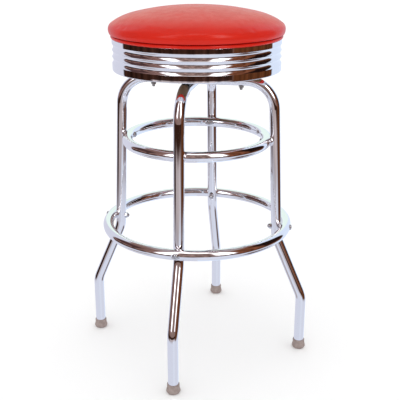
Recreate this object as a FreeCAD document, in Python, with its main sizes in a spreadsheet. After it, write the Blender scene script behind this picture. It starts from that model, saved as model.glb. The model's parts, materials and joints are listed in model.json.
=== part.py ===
import FreeCAD, Part
import Sketcher
import math
import os

# Diner counter stool: two crossed chrome leg hoops, two rings, a ball bearing swivel
# and a round padded seat in a fluted chrome band.
# Millimetres and degrees. The origin is on the floor under the middle of the seat, +Z is up.
# The side hoop stands along X and the front hoop along Y, and the front of the stool is -Y.

Vector = FreeCAD.Vector

# Driving dimensions: alias, value, meaning
SIZES = [
    ("tube_diameter", 22.225, "outside diameter of the leg and ring tube"),
    ("tube_wall", 1.65, "wall of the leg and ring tube"),
    ("lap_gap", 0.02, "clearance between tubes that nest"),
    ("rail_height", 611.1, "centre line of the hoops where they cross"),
    ("shoulder_radius", 163.3, "where the rail and the leg lines meet"),
    ("kink_radius", 178.3, "where the leg turns outwards"),
    ("kink_height", 268.3, "height of that turn"),
    ("foot_radius", 238.0, "leg centre line at the floor"),
    ("knee_height", 128.9, "where the splayed leg turns upright"),
    ("tube_end_height", 5.8, "lower end of the leg tube, inside its tip"),
    ("shoulder_bend", 60.0, "bend radius at the top of a leg"),
    ("leg_bend", 60.0, "bend radius at the kink and the knee"),
    ("crossing_flat", 11.4, "half length of the flat where the rails cross"),
    ("crossing_ramp", 22.0, "half length of the pressed part at its top"),
    ("upper_ring_radius", 149.6, "centre line of the brace ring"),
    ("upper_ring_height", 483.0, "height of the brace ring"),
    ("foot_ring_radius", 197.0, "centre line of the footrest ring"),
    ("foot_ring_height", 292.5, "height of the footrest ring"),
    ("bolt_diameter", 6.0, "shank of the frame bolts"),
    ("bolt_hole", 6.4, "hole for a frame bolt"),
    ("seat_depth", 1.3, "depth of the pressed flat under a bolt head"),
    ("seat_flat", 6.6, "radius of that flat"),
    ("seat_flare", 3.0, "how much wider the flat is at a height of 1.3"),
    ("head_radius", 6.3, "radius of a frame bolt head"),
    ("head_height", 4.0, "height of a frame bolt head"),
    ("head_round", 3.0, "rounding of a frame bolt head"),
    ("recess_span", 6.2, "length of a cross recess arm to arm"),
    ("recess_width", 1.5, "width of a cross recess arm"),
    ("recess_depth", 2.0, "depth of a cross recess"),
    ("cap_flats", 11.0, "cap nut across its flats"),
    ("cap_hex_height", 5.0, "hexagon of a cap nut"),
    ("cap_dome_radius", 5.1, "dome of a cap nut"),
    ("cap_dome_height", 4.6, "dome of a cap nut"),
    ("cap_dome_sink", 0.5, "how far the dome sits in the hexagon"),
    ("cap_thread_depth", 6.5, "depth of a cap nut's thread"),
    ("collar_radius", 5.8, "collar nut welded inside a leg"),
    ("collar_height", 5.0, "length of that nut"),
    ("collar_nut_gap", 0.05, "that nut to the inside of the leg"),
    ("flange_radius", 6.2, "flange of a flange nut"),
    ("flange_height", 1.4, "flange of a flange nut"),
    ("flange_nut_flats", 9.2, "flange nut across its flats"),
    ("flange_nut_height", 5.2, "whole flange nut"),
    ("rail_bolt_tip", 8.9, "bolt tip below the rail"),
    ("rail_bolt_radius", 94.3, "rail bolts and seat screws from the middle"),
    ("rail_head_height", 3.2, "head of a rail bolt"),
    ("tip_height", 20.5, "rubber tip"),
    ("tip_floor", 4.6, "rubber under the tube"),
    ("tip_top_radius", 13.1, "top of the rubber tip"),
    ("tip_wide_radius", 15.1, "widest part of the rubber tip"),
    ("tip_wide_height", 4.5, "height of the widest part"),
    ("tip_sole_radius", 12.3, "sole of the rubber tip"),
    ("tip_sole_round", 1.2, "edge of the sole"),
    ("tip_wide_round", 3.0, "rounding of the widest part"),
    ("tip_neck_height", 12.71, "where the flare meets the neck"),
    ("tip_neck_round", 14.0, "sweep of the flare"),
    ("tip_mouth_round", 0.8, "rim of the rubber tip"),
    ("disc_thickness", 1.2, "steel disc in the rubber tip"),
    ("disc_gap", 0.05, "rim of the disc to the rubber"),
    ("plate_side", 152.4, "swivel plate, square"),
    ("plate_corner", 12.0, "corner radius of a swivel plate"),
    ("plate_thickness", 2.0, "steel of a swivel plate"),
    ("swivel_height", 12.7, "both plates and the balls between them"),
    ("race_radius", 48.0, "circle of the balls"),
    ("race_land", 5.0, "half width of a ball track"),
    ("race_rise", 2.2, "height of a ball track above its plate"),
    ("ball_radius", 3.175, "bearing ball"),
    ("ball_clearance", 0.06, "ball to track"),
    ("ball_count", 24, "bearing balls"),
    ("cage_thickness", 1.2, "ball cage"),
    ("cage_inner_radius", 42.5, "ball cage"),
    ("cage_outer_radius", 53.5, "ball cage"),
    ("cage_pocket_gap", 0.12, "ball to cage pocket"),
    ("dish_radius", 20.0, "raised middle of the lower plate"),
    ("dish_rise", 2.6, "rise of that middle"),
    ("dish_skirt", 3.0, "slope of the raised middle"),
    ("dish_hollow_slope", 2.0, "slope of the hollow under it"),
    ("kingpin_radius", 6.0, "shank of the swivel pin"),
    ("kingpin_clearance", 0.05, "running clearance of the swivel pin"),
    ("kingpin_head_radius", 10.0, "heads of the swivel pin"),
    ("kingpin_head_height", 2.2, "heads of the swivel pin"),
    ("kingpin_head_round", 1.2, "rounding of the upper head"),
    ("kingpin_collar", 3.0, "width of the collar on the shank"),
    ("collar_gap", 0.1, "end play of the swivel"),
    ("screw_radius", 2.4, "seat screw"),
    ("screw_length", 12.5, "seat screw in the board"),
    ("screw_hole_gap", 0.3, "seat screw to its hole in the plate"),
    ("pilot_room", 1.5, "pilot hole beyond a screw's point"),
    ("screw_head_radius", 4.7, "seat screw head"),
    ("screw_head_height", 2.3, "seat screw head"),
    ("board_radius", 169.3, "plywood seat board"),
    ("board_thickness", 15.9, "plywood seat board"),
    ("board_pocket_radius", 14.0, "room for the swivel pin in the board"),
    ("board_pocket_depth", 4.0, "room for the swivel pin in the board"),
    ("cover_thickness", 1.1, "vinyl seat cover"),
    ("cover_wall_radius", 170.6, "seat cover inside the band"),
    ("foam_gap", 0.1, "foam to the cover's wall"),
    ("hem_radius", 146.0, "edge of the cover under the board"),
    ("hem_thickness", 0.8, "cover stapled under the board"),
    ("hem_corner", 2.1, "where the cover turns under the board"),
    ("board_corner", 1.5, "bevel on the board's lower edge"),
    ("board_top_round", 2.0, "rounding of the board's upper edge"),
    ("cushion_top", 762.0, "top of the seat"),
    ("cushion_radius", 182.7, "widest part of the cushion"),
    ("cushion_wide_height", 715.8, "height of the widest part"),
    ("crown_radius", 593.0, "crown of the cushion"),
    ("crown_edge_radius", 134.0, "where the crown falls to the shoulder"),
    ("cushion_shoulder", 15.3, "shoulder of the cushion"),
    ("cushion_under", 20.0, "drawn-in lower side of the cushion"),
    ("crease_height", 705.2, "crease under the cushion"),
    ("crease_drop", 0.8, "slope of the crease towards the wall"),
    ("welt_radius", 174.2, "centre of the welt"),
    ("welt_height", 701.0, "centre of the welt"),
    ("welt_thickness", 6.6, "thickness of the welt"),
    ("band_radius", 175.2, "outside of the band's flats"),
    ("band_sheet", 0.9, "sheet of the band"),
    ("band_top", 697.6, "upper edge of the band"),
    ("band_bottom", 633.2, "lower face of the band's flange"),
    ("band_corner", 1.6, "rounded lower corner of the band"),
    ("band_flange_radius", 157.0, "inner edge of the band's flange"),
    ("flute_top", 687.6, "upper end of the flutes rolled into the band"),
    ("flute_pitch", 13.4, "spacing of the flutes"),
    ("flute_depth", 2.6, "depth of a flute"),
    ("flute_count", 3, "flutes in the band"),
    ("flange_screw_circle", 162.5, "screws through the band's flange"),
    ("flange_screw_count", 8, "screws through the band's flange"),
    ("flange_screw_radius", 1.6, "shank of a flange screw"),
    ("flange_hole_gap", 0.2, "flange screw to its hole"),
    ("flange_screw_head", 3.3, "head of a flange screw"),
    ("flange_screw_head_height", 1.6, "head of a flange screw"),
    ("flange_screw_length", 11.0, "flange screw in the board"),
    ("staple_circle", 151.5, "staples in the hem"),
    ("staple_count", 36, "staples in the hem"),
    ("staple_width", 10.0, "crown of a staple"),
    ("staple_wire", 0.7, "wire of a staple"),
    ("staple_leg", 7.0, "leg of a staple"),
]

doc = FreeCAD.newDocument("counter_stool")
sheet = doc.addObject("Spreadsheet::Sheet", "Sizes")


class Size:
    """A length with its value and the spreadsheet expression it comes from."""

    def __init__(self, text, value):
        self.text = text
        self.value = value

    def __add__(self, other):
        other = as_size(other)
        return Size("(%s + %s)" % (self.text, other.text), self.value + other.value)

    def __radd__(self, other):
        return as_size(other) + self

    def __sub__(self, other):
        other = as_size(other)
        return Size("(%s - %s)" % (self.text, other.text), self.value - other.value)

    def __rsub__(self, other):
        return as_size(other) - self

    def __mul__(self, other):
        other = as_size(other)
        return Size("(%s * %s)" % (self.text, other.text), self.value * other.value)

    def __rmul__(self, other):
        return self * other

    def __truediv__(self, other):
        other = as_size(other)
        return Size("(%s / %s)" % (self.text, other.text), self.value / other.value)

    def __neg__(self):
        return Size("(0 - %s)" % self.text, -self.value)


def as_size(value):
    if isinstance(value, Size):
        return value
    return Size(repr(value), value)


def fill_sheet():
    """Writes the driving dimensions into the sheet and returns them by alias."""
    found = {}
    for row, (alias, value, meaning) in enumerate(SIZES, start=1):
        sheet.set("A%d" % row, meaning)
        sheet.set("B%d" % row, str(value))
        sheet.setAlias("B%d" % row, alias)
        found[alias] = Size("Sizes.%s" % alias, value)
    doc.recompute()
    return found


D = fill_sheet()

# Sizes worked out from the driving ones
tube_radius = D["tube_diameter"] / 2
bore_radius = tube_radius - D["tube_wall"]
leg_lean = (D["kink_radius"] - D["shoulder_radius"]) / (D["rail_height"] - D["kink_height"])
rail_top = D["rail_height"] + tube_radius
rail_bottom = D["rail_height"] - tube_radius
lower_plate_top = rail_top + D["plate_thickness"]
board_bottom = rail_top + D["swivel_height"]
upper_plate_bottom = board_bottom - D["plate_thickness"]
ball_height = rail_top + D["swivel_height"] / 2
board_top = board_bottom + D["board_thickness"]
foam_wall_radius = D["cover_wall_radius"] - D["cover_thickness"]
dish_top = lower_plate_top + D["dish_rise"]
QUARTER = 90
LEG_ANGLES = (0, QUARTER, 2 * QUARTER, 3 * QUARTER)
LEG_COUNT = len(LEG_ANGLES)

# How far a cutter stands out of the piece that it cuts
SHALLOW_REACH = 3
PRESS_REACH = 6
DEEP_REACH = 20


def leg_radius(height):
    """Distance of the straight upper leg's centre line from the middle at a height."""
    return D["kink_radius"] - (height - D["kink_height"]) * leg_lean


# Helpers for sketches

def origin_part(body, role):
    for feature in body.Origin.OriginFeatures:
        if feature.Role == role:
            return feature
    raise ValueError(role)


def new_body(name):
    body = doc.addObject("PartDesign::Body", name)
    body.Label = name
    return body


def new_sketch(body, name, role="XZ_Plane", offset=None):
    """A sketch on one of the body's origin planes, moved along its normal if asked."""
    sketch = body.newObject("Sketcher::SketchObject", name)
    sketch.AttachmentSupport = [(origin_part(body, role), "")]
    sketch.MapMode = "FlatFace"
    if offset is not None:
        sketch.setExpression("AttachmentOffset.Base.z", offset.text)
    doc.recompute()
    return sketch


def constrain(sketch, name, size, *arguments):
    """Adds a dimension and binds it to the sheet."""
    kind = arguments[0]
    index = sketch.addConstraint(Sketcher.Constraint(kind, *arguments[1:], size.value))
    sketch.renameConstraint(index, name)
    sketch.setExpression("Constraints.%s" % name, size.text)


def relate(sketch, *arguments):
    sketch.addConstraint(Sketcher.Constraint(*arguments))


ORIGIN_POINT = (-1, 1)


def pin_point(sketch, name, geometry, place, x, y):
    """Fixes a point of the sketch at a place given by two sizes."""
    for axis, size in (("X", x), ("Y", y)):
        size = as_size(size)
        if size.value == 0:
            relate(sketch, "PointOnObject", geometry, place, -2 if axis == "X" else -1)
        elif size.value > 0:
            constrain(sketch, name + axis, size, "Distance" + axis, *ORIGIN_POINT, geometry, place)
        else:
            constrain(sketch, name + axis, -size, "Distance" + axis, geometry, place, *ORIGIN_POINT)


def arc_between(start, end, centre):
    """The shorter arc from start to end about centre, and which of its ends is the start."""
    first = math.atan2(start.y - centre.y, start.x - centre.x)
    last = math.atan2(end.y - centre.y, end.x - centre.x)
    forward = (last - first) % (2 * math.pi) <= math.pi
    circle = Part.Circle(centre, Vector(0, 0, 1), start.distanceToPoint(centre))
    if forward:
        return Part.ArcOfCircle(circle, first, last), 1
    return Part.ArcOfCircle(circle, last, first), 2


def draw(sketch, corners, closed=True):
    """Draws an outline through corners (x, y, how).

    how is None for a sharp corner, ("round", radius) for a tangent arc in the corner,
    ("bow", radius, side) where the run from this corner to the next is an arc whose centre
    lies on the left (1) or the right (-1) of it, and ("half",) where that run is a half
    circle that goes up on the outer side. Every size is bound to the sheet.
    """
    spots = [Vector(as_size(c[0]).value, as_size(c[1]).value, 0) for c in corners]
    hows = [c[2] if len(c) > 2 else None for c in corners]
    count = len(corners)
    runs = count if closed else count - 1
    starts = list(spots)
    ends = list(spots)
    centres = {}
    for i, how in enumerate(hows):
        if how and how[0] == "round":
            back = (spots[i - 1] - spots[i]).normalize()
            ahead = (spots[(i + 1) % count] - spots[i]).normalize()
            half = back.getAngle(ahead) / 2
            reach = how[1].value / math.tan(half)
            ends[i] = spots[i] + back * reach
            starts[i] = spots[i] + ahead * reach
            middle = (back + ahead).normalize()
            centres[i] = spots[i] + middle * (how[1].value / math.sin(half))
    edges = []
    for i in range(runs):
        following = (i + 1) % count
        first, last = starts[i], ends[following]
        if hows[i] and hows[i][0] == "bow":
            _, radius, side = hows[i]
            chord = last - first
            left = Vector(-chord.y, chord.x, 0).normalize()
            rise = math.sqrt(radius.value ** 2 - (chord.Length / 2) ** 2)
            centre = (first + last) * 0.5 + left * (side * rise)
            arc, start_end = arc_between(first, last, centre)
            index = sketch.addGeometry(arc)
            constrain(sketch, "bow%d" % i, radius, "Radius", index)
            edges.append((index, start_end, 3 - start_end))
        elif hows[i] and hows[i][0] == "half":
            middle = (first + last) * 0.5
            circle = Part.Circle(middle, Vector(0, 0, 1), first.distanceToPoint(middle))
            index = sketch.addGeometry(Part.ArcOfCircle(circle, -math.pi / 2, math.pi / 2))
            relate(sketch, "Symmetric", index, 1, index, 2, index, 3)
            edges.append((index, 1, 2))
        else:
            index = sketch.addGeometry(Part.LineSegment(first, last))
            edges.append((index, 1, 2))
    for i in range(count):
        how = hows[i]
        arriving = edges[i - 1] if (closed or i > 0) else None
        leaving = edges[i] if (closed or i < count - 1) else None
        if how and how[0] == "round":
            arc, start_end = arc_between(ends[i], starts[i], centres[i])
            index = sketch.addGeometry(arc)
            relate(sketch, "Tangent", arriving[0], arriving[2], index, start_end)
            relate(sketch, "Tangent", index, 3 - start_end, leaving[0], leaving[1])
            constrain(sketch, "round%d" % i, how[1], "Radius", index)
            corner = sketch.addGeometry(Part.Point(spots[i]), True)
            relate(sketch, "PointOnObject", corner, 1, arriving[0])
            relate(sketch, "PointOnObject", corner, 1, leaving[0])
            pin_point(sketch, "corner%d" % i, corner, 1, corners[i][0], corners[i][1])
            continue
        if arriving and leaving:
            relate(sketch, "Coincident", arriving[0], arriving[2], leaving[0], leaving[1])
        keeper = leaving or arriving
        place = leaving[1] if leaving else arriving[2]
        pin_point(sketch, "corner%d" % i, keeper[0], place, corners[i][0], corners[i][1])
    doc.recompute()


def draw_turning_axis(sketch, x):
    """A construction line that a feature away from the stool's middle is turned about."""
    bottom = Vector(x.value, 0, 0)
    axis = sketch.addGeometry(Part.LineSegment(bottom, bottom + Vector(0, 10, 0)), True)
    pin_point(sketch, "axis", axis, 1, x, 0)
    relate(sketch, "Vertical", axis)
    constrain(sketch, "axisLength", as_size(10), "DistanceY", axis, 1, axis, 2)
    doc.recompute()


def draw_circle(sketch, name, radius, x=0, y=0):
    x = as_size(x)
    y = as_size(y)
    index = sketch.addGeometry(Part.Circle(Vector(x.value, y.value, 0), Vector(0, 0, 1), radius.value))
    constrain(sketch, name + "Radius", radius, "Radius", index)
    pin_point(sketch, name, index, 3, x, y)
    doc.recompute()


def draw_hexagon(sketch, flats):
    """A hexagon about the sketch's origin, with two flats level."""
    side = flats / math.sqrt(3)
    half = flats / 2
    draw(sketch, [(side, 0), (side / 2, half), (-side / 2, half), (-side, 0), (-side / 2, -half), (side / 2, -half)])


# Helpers for features

def revolve(body, name, sketch, axis="V_Axis", kind="PartDesign::Revolution"):
    feature = body.newObject(kind, name)
    feature.Profile = sketch
    feature.ReferenceAxis = (sketch, [axis])
    feature.Angle = 360
    doc.recompute()
    return feature


def pad(body, name, sketch, length, reverse=False, kind="PartDesign::Pad"):
    feature = body.newObject(kind, name)
    feature.Profile = sketch
    feature.setExpression("Length", length.text)
    feature.Reversed = reverse
    doc.recompute()
    return feature


def pocket(body, name, sketch, length, reverse=False):
    """A pocket that has to take something off the body."""
    before = body.Shape.Volume
    feature = pad(body, name, sketch, length, reverse, "PartDesign::Pocket")
    if not body.Shape.Volume < before:
        raise ValueError("%s cuts nothing" % feature.Name)
    return feature


def pattern(body, name, features, count):
    """Repeats features about the body's Z axis."""
    feature = body.newObject("PartDesign::PolarPattern", name)
    feature.Originals = features
    feature.Axis = (origin_part(body, "Z_Axis"), [""])
    feature.Angle = 360
    if isinstance(count, Size):
        feature.setExpression("Occurrences", count.text)
    else:
        feature.Occurrences = count
    body.Tip = feature
    doc.recompute()
    return feature


def place(thing, x=0, y=0, z=0, turn=0, axis=Vector(0, 0, 1)):
    """Puts an object at a place whose sizes stay bound to the sheet."""
    thing.Placement = FreeCAD.Placement(Vector(0, 0, 0), FreeCAD.Rotation(axis, turn))
    for letter, size in (("x", x), ("y", y), ("z", z)):
        thing.setExpression("Placement.Base.%s" % letter, as_size(size).text)
    doc.recompute()


def turned(thing, angle, axis=Vector(0, 0, 1)):
    """Turns an object about an axis through the stool's origin."""
    holder = doc.addObject("Part::Compound", thing.Name + "_turned")
    holder.Links = [thing]
    holder.Placement = FreeCAD.Placement(Vector(0, 0, 0), FreeCAD.Rotation(axis, angle))
    doc.recompute()
    return holder


def primitive(kind, name, **sizes):
    thing = doc.addObject("Part::" + kind, name)
    for key, size in sizes.items():
        thing.setExpression(key, as_size(size).text)
    doc.recompute()
    return thing


def fuse(name, things):
    fused = doc.addObject("Part::MultiFuse", name)
    fused.Shapes = things
    doc.recompute()
    return fused


def cut(name, base, tools):
    result = doc.addObject("Part::Cut", name)
    result.Base = base
    result.Tool = tools[0] if len(tools) == 1 else fuse(name + "_tools", tools)
    doc.recompute()
    return result


NODES = []


def node(thing, name):
    """Marks an object as a finished sub-part of the stool."""
    thing.Label = name
    NODES.append(thing)
    return thing


# Cutters for the tubes. Each is made twice: once for the outside of a tube, and once set
# back by the wall for its bore, so that pressed steel keeps its thickness.

X_AXIS = Vector(1, 0, 0)
Y_AXIS = Vector(0, 1, 0)


def drill(name, along, half_length, height):
    """A drill right through the stool along X or Y at a height."""
    hole = primitive("Cylinder", name, Radius=D["bolt_hole"] / 2, Height=half_length * 2)
    if along == "X":
        place(hole, x=-half_length, z=height, turn=90, axis=Y_AXIS)
    else:
        place(hole, y=half_length, z=height, turn=90, axis=X_AXIS)
    return hole


def bolt_seat(name, face, height, inwards, angle, back):
    """A pressed flat for a bolt head on a tube's face, at an angle round the stool.

    face is the radius of the tube's surface there, inwards says that the head is on the
    side of the stool's middle, and back sets the flat back by the tube's wall.
    """
    side = -1 if inwards else 1
    depth = D["seat_depth"] + back
    slope = D["seat_flare"] / D["seat_depth"]
    wide = D["seat_flat"] + back / 2
    cone = primitive("Cone", name, Radius1=wide, Radius2=wide + (depth + SHALLOW_REACH) * slope,
                     Height=depth + SHALLOW_REACH)
    place(cone, x=face - depth * side, z=height, turn=90 * side, axis=Y_AXIS)
    return turned(cone, angle)


def under_seat(name, along, sign, back):
    """A pressed flat for a flange nut under a rail."""
    depth = D["seat_depth"] + back
    slope = D["seat_flare"] / D["seat_depth"]
    wide = D["seat_flat"] + back / 2
    cone = primitive("Cone", name, Radius1=wide, Radius2=wide + (depth + SHALLOW_REACH) * slope,
                     Height=depth + SHALLOW_REACH)
    offset = D["rail_bolt_radius"] * sign
    if along == "X":
        place(cone, x=offset, z=rail_bottom + depth, turn=180, axis=X_AXIS)
    else:
        place(cone, y=offset, z=rail_bottom + depth, turn=180, axis=X_AXIS)
    return cone


def ring_saddle(name, ring_radius, height, back):
    """The ring's own tube, which the leg is pressed in by."""
    saddle = primitive("Torus", name, Radius1=ring_radius, Radius2=tube_radius + D["lap_gap"] + back)
    place(saddle, z=height)
    return saddle


def crossing_press(name, along, back):
    """The tapered block that presses one rail down to half its height at the crossing.

    The side rail, along X, is pressed from above, and the front rail from below.
    """
    side = 1 if along == "X" else -1
    body = new_body(name)
    sketch = new_sketch(body, name + "_outline")
    floor = D["rail_height"] - (D["lap_gap"] / 2 + back) * side
    roof = D["rail_height"] + (tube_radius + PRESS_REACH) * side
    flat = D["crossing_flat"] + back / 2
    ramp = (D["crossing_ramp"] - D["crossing_flat"]) / tube_radius
    wide = flat + (tube_radius + PRESS_REACH + back) * ramp
    draw(sketch, [(-flat, floor), (flat, floor), (wide, roof), (-wide, roof)])
    block = pad(body, name + "_block", sketch, D["tube_diameter"] * 2)
    block.Midplane = True
    doc.recompute()
    return body if along == "X" else turned(body, QUARTER)


# Leg hoops

def hoop_pipe(name, radius, overrun):
    """A round bar bent to the shape of a hoop, standing along X."""
    body = new_body(name)
    path = new_sketch(body, name + "_path")
    draw(path, [
        (0, D["rail_height"]),
        (D["shoulder_radius"], D["rail_height"], ("round", D["shoulder_bend"])),
        (D["kink_radius"], D["kink_height"], ("round", D["leg_bend"])),
        (D["foot_radius"], D["knee_height"], ("round", D["leg_bend"])),
        (D["foot_radius"], D["tube_end_height"] - overrun),
    ], closed=False)
    section = new_sketch(body, name + "_section", "YZ_Plane")
    draw_circle(section, "tube", radius, 0, D["rail_height"])
    pipe = body.newObject("PartDesign::AdditivePipe", name + "_half")
    pipe.Profile = section
    pipe.Spine = path
    doc.recompute()
    mirrored = body.newObject("PartDesign::Mirrored", name + "_whole")
    mirrored.Originals = [pipe]
    mirrored.MirrorPlane = (origin_part(body, "YZ_Plane"), [""])
    body.Tip = mirrored
    doc.recompute()
    return body


def leg_hoop(name, along):
    """One inverted U of chromed tube, pressed where the other hoop, the rings and bolts meet it."""
    angles = (0, 180) if along == "X" else (QUARTER, QUARTER + 180)
    leg_at_ring = leg_radius(D["foot_ring_height"])
    shells = []
    for part_name, radius, overrun, back in (
        ("skin", tube_radius, 0, as_size(0)),
        ("bore", bore_radius, 4, D["tube_wall"]),
    ):
        title = name + "_" + part_name
        pipe = hoop_pipe(title, radius, overrun)
        if along == "Y":
            pipe = turned(pipe, QUARTER)
        tools = [
            crossing_press(title + "_crossing", along, back),
            ring_saddle(title + "_upper_saddle", D["upper_ring_radius"], D["upper_ring_height"], back),
            ring_saddle(title + "_foot_saddle", D["foot_ring_radius"], D["foot_ring_height"], back),
        ]
        for angle in angles:
            tools.append(bolt_seat("%s_cap_seat_%d" % (title, angle), leg_at_ring - tube_radius,
                                   D["foot_ring_height"], True, angle, back))
        for sign in (1, -1):
            tools.append(under_seat("%s_nut_seat_%d" % (title, sign + 1), along, sign, back))
        shells.append(cut(title + "_pressed", pipe, tools))
    holes = [
        drill(name + "_foot_ring_hole", along, D["foot_ring_radius"] + DEEP_REACH, D["foot_ring_height"]),
        drill(name + "_upper_ring_hole", along, leg_radius(D["upper_ring_height"]), D["upper_ring_height"]),
    ]
    for sign in (1, -1):
        hole = primitive("Cylinder", "%s_rail_hole_%d" % (name, sign + 1), Radius=D["bolt_hole"] / 2,
                         Height=2 * DEEP_REACH)
        offset = D["rail_bolt_radius"] * sign
        if along == "X":
            place(hole, x=offset, z=D["rail_height"] - DEEP_REACH)
        else:
            place(hole, y=offset, z=D["rail_height"] - DEEP_REACH)
        holes.append(hole)
    node(cut(name, shells[0], [shells[1]] + holes), name)


# Rings

def ring(name, radius, height, heads_inwards):
    """A ring of chromed tube with a pressed flat under each of its four bolt heads."""
    shells = []
    for part_name, tube, back in (("skin", tube_radius, as_size(0)), ("bore", bore_radius, D["tube_wall"])):
        title = name + "_" + part_name
        torus = primitive("Torus", title, Radius1=radius, Radius2=tube)
        place(torus, z=height)
        face = radius - tube_radius if heads_inwards else radius + tube_radius
        seats = [
            bolt_seat("%s_seat_%d" % (title, angle), face, height, heads_inwards, angle, back)
            for angle in LEG_ANGLES
        ]
        shells.append(cut(title + "_pressed", torus, seats))
    holes = [drill("%s_hole_%s" % (name, along.lower()), along, radius + DEEP_REACH, height) for along in "XY"]
    node(cut(name, shells[0], [shells[1]] + holes), name)


# Fasteners of the rings. Each group is drawn at the leg on +X and repeated at the others.

def cross_recess(body, name, face, inwards, depth=D["recess_depth"]):
    """A cross-shaped driver recess in a head whose top is at a radius."""
    sketch = new_sketch(body, name + "_cross", "YZ_Plane", face)
    arm = D["recess_span"] / 2
    half = D["recess_width"] / 2
    draw(sketch, [
        (arm, -half), (arm, half), (half, half), (half, arm), (-half, arm), (-half, half),
        (-arm, half), (-arm, -half), (-half, -half), (-half, -arm), (half, -arm), (half, -half),
    ])
    return pocket(body, name + "_recess", sketch, depth, reverse=inwards)


def ring_bolts(name, face, far_end, height, inwards):
    """Four pan head bolts that run along the leg's radius from a head on a pressed flat."""
    side = -1 if inwards else 1
    body = new_body(name)
    sketch = new_sketch(body, name + "_outline")
    top = face + D["head_height"] * side
    shank = D["bolt_diameter"] / 2
    corners = [
        (far_end, 0),
        (far_end, shank),
        (face, shank),
        (face, D["head_radius"]),
        (top, D["head_radius"], ("round", D["head_round"])),
        (top, 0),
    ]
    draw(sketch, corners)
    turning = revolve(body, name + "_turning", sketch, "H_Axis")
    recess = cross_recess(body, name, top, inwards)
    pattern(body, name + "_group", [turning, recess], LEG_COUNT)
    place(body, z=height)
    node(body, name)


def cap_nuts(name, face, height):
    """Four domed cap nuts on the inner side of the legs, on the ends of the bolts."""
    body = new_body(name)
    hexagon = new_sketch(body, name + "_hexagon", "YZ_Plane", face)
    draw_hexagon(hexagon, D["cap_flats"])
    block = pad(body, name + "_block", hexagon, D["cap_hex_height"], reverse=True)
    shape = new_sketch(body, name + "_dome_outline")
    foot = face - D["cap_hex_height"]
    draw(shape, [
        (foot + D["cap_dome_sink"], 0),
        (foot + D["cap_dome_sink"], D["cap_dome_radius"]),
        (foot - D["cap_dome_height"], D["cap_dome_radius"], ("round", D["cap_dome_height"])),
        (foot - D["cap_dome_height"], 0),
    ])
    dome = revolve(body, name + "_dome", shape, "H_Axis")
    bore_outline = new_sketch(body, name + "_thread_outline", "YZ_Plane", face)
    draw_circle(bore_outline, "thread", D["bolt_diameter"] / 2)
    bore = pocket(body, name + "_thread", bore_outline, D["cap_thread_depth"], reverse=False)
    pattern(body, name + "_group", [block, dome, bore], LEG_COUNT)
    place(body, z=height)
    node(body, name)


def collar_nuts(name, face, height):
    """Four round nuts welded inside the legs, which the upper ring's bolts screw into."""
    body = new_body(name)
    outline = new_sketch(body, name + "_outline")
    end = face + D["collar_height"]
    inner = D["bolt_diameter"] / 2
    draw(outline, [(face, inner), (face, D["collar_radius"]), (end, D["collar_radius"]), (end, inner)])
    turning = revolve(body, name + "_turning", outline, "H_Axis")
    pattern(body, name + "_group", [turning], LEG_COUNT)
    place(body, z=height)
    node(body, name)


# Fasteners of the rails

def rail_bolts():
    """Four bolts down through the lower swivel plate and the rails."""
    body = new_body("rail_bolts")
    sketch = new_sketch(body, "rail_bolts_outline")
    middle = D["rail_bolt_radius"]
    shank = D["bolt_diameter"] / 2
    top = lower_plate_top + D["rail_head_height"]
    tip = rail_bottom - D["rail_bolt_tip"]
    draw(sketch, [
        (middle, tip),
        (middle + shank - 1, tip),
        (middle + shank, tip + 1),
        (middle + shank, lower_plate_top),
        (middle + D["head_radius"], lower_plate_top),
        (middle + D["head_radius"], top, ("round", D["head_round"])),
        (middle, top),
    ])
    draw_turning_axis(sketch, middle)
    turning = revolve(body, "rail_bolts_turning", sketch, "Axis0")
    pattern(body, "rail_bolts_group", [turning], LEG_COUNT)
    node(body, "rail_bolts")


def rail_flange_nuts():
    """Four flange nuts under the rails."""
    body = new_body("rail_flange_nuts")
    top = rail_bottom + D["seat_depth"]
    middle = D["rail_bolt_radius"]
    ring_sketch = new_sketch(body, "rail_nut_flange_outline", "XY_Plane", top)
    draw_circle(ring_sketch, "flange", D["flange_radius"], middle, 0)
    flange = pad(body, "rail_nut_flange", ring_sketch, D["flange_height"], reverse=True)
    hexagon = new_sketch(body, "rail_nut_hexagon", "XY_Plane", top)
    side = D["flange_nut_flats"] / math.sqrt(3)
    half = D["flange_nut_flats"] / 2
    draw(hexagon, [
        (middle + side, 0), (middle + side / 2, half), (middle - side / 2, half),
        (middle - side, 0), (middle - side / 2, -half), (middle + side / 2, -half),
    ])
    block = pad(body, "rail_nut_block", hexagon, D["flange_nut_height"], reverse=True)
    hole = new_sketch(body, "rail_nut_hole", "XY_Plane", top)
    draw_circle(hole, "thread", D["bolt_diameter"] / 2, middle, 0)
    thread = pocket(body, "rail_nut_thread", hole, D["flange_nut_height"], reverse=False)
    pattern(body, "rail_flange_nuts_group", [flange, block, thread], LEG_COUNT)
    node(body, "rail_flange_nuts")


# Feet

LEGS = (("right", 1, 0), ("back", 0, 1), ("left", -1, 0), ("front", 0, -1))


def rubber_tip(leg, x_sign, y_sign):
    """A flared rubber tip pushed over the end of a leg."""
    name = "rubber_tip_" + leg
    body = new_body(name)
    sketch = new_sketch(body, name + "_outline")
    disc_top = D["tip_floor"] + D["disc_thickness"]
    draw(sketch, [
        (0, 0),
        (D["tip_sole_radius"], 0, ("round", D["tip_sole_round"])),
        (D["tip_wide_radius"], D["tip_wide_height"], ("round", D["tip_wide_round"])),
        (D["tip_top_radius"], D["tip_neck_height"], ("round", D["tip_neck_round"])),
        (D["tip_top_radius"], D["tip_height"], ("round", D["tip_mouth_round"])),
        (tube_radius, D["tip_height"]),
        (tube_radius, disc_top),
        (tube_radius, D["tip_floor"]),
        (0, D["tip_floor"]),
    ])
    revolve(body, name + "_turning", sketch)
    place(body, x=D["foot_radius"] * x_sign, y=D["foot_radius"] * y_sign)
    node(body, name)


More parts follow.
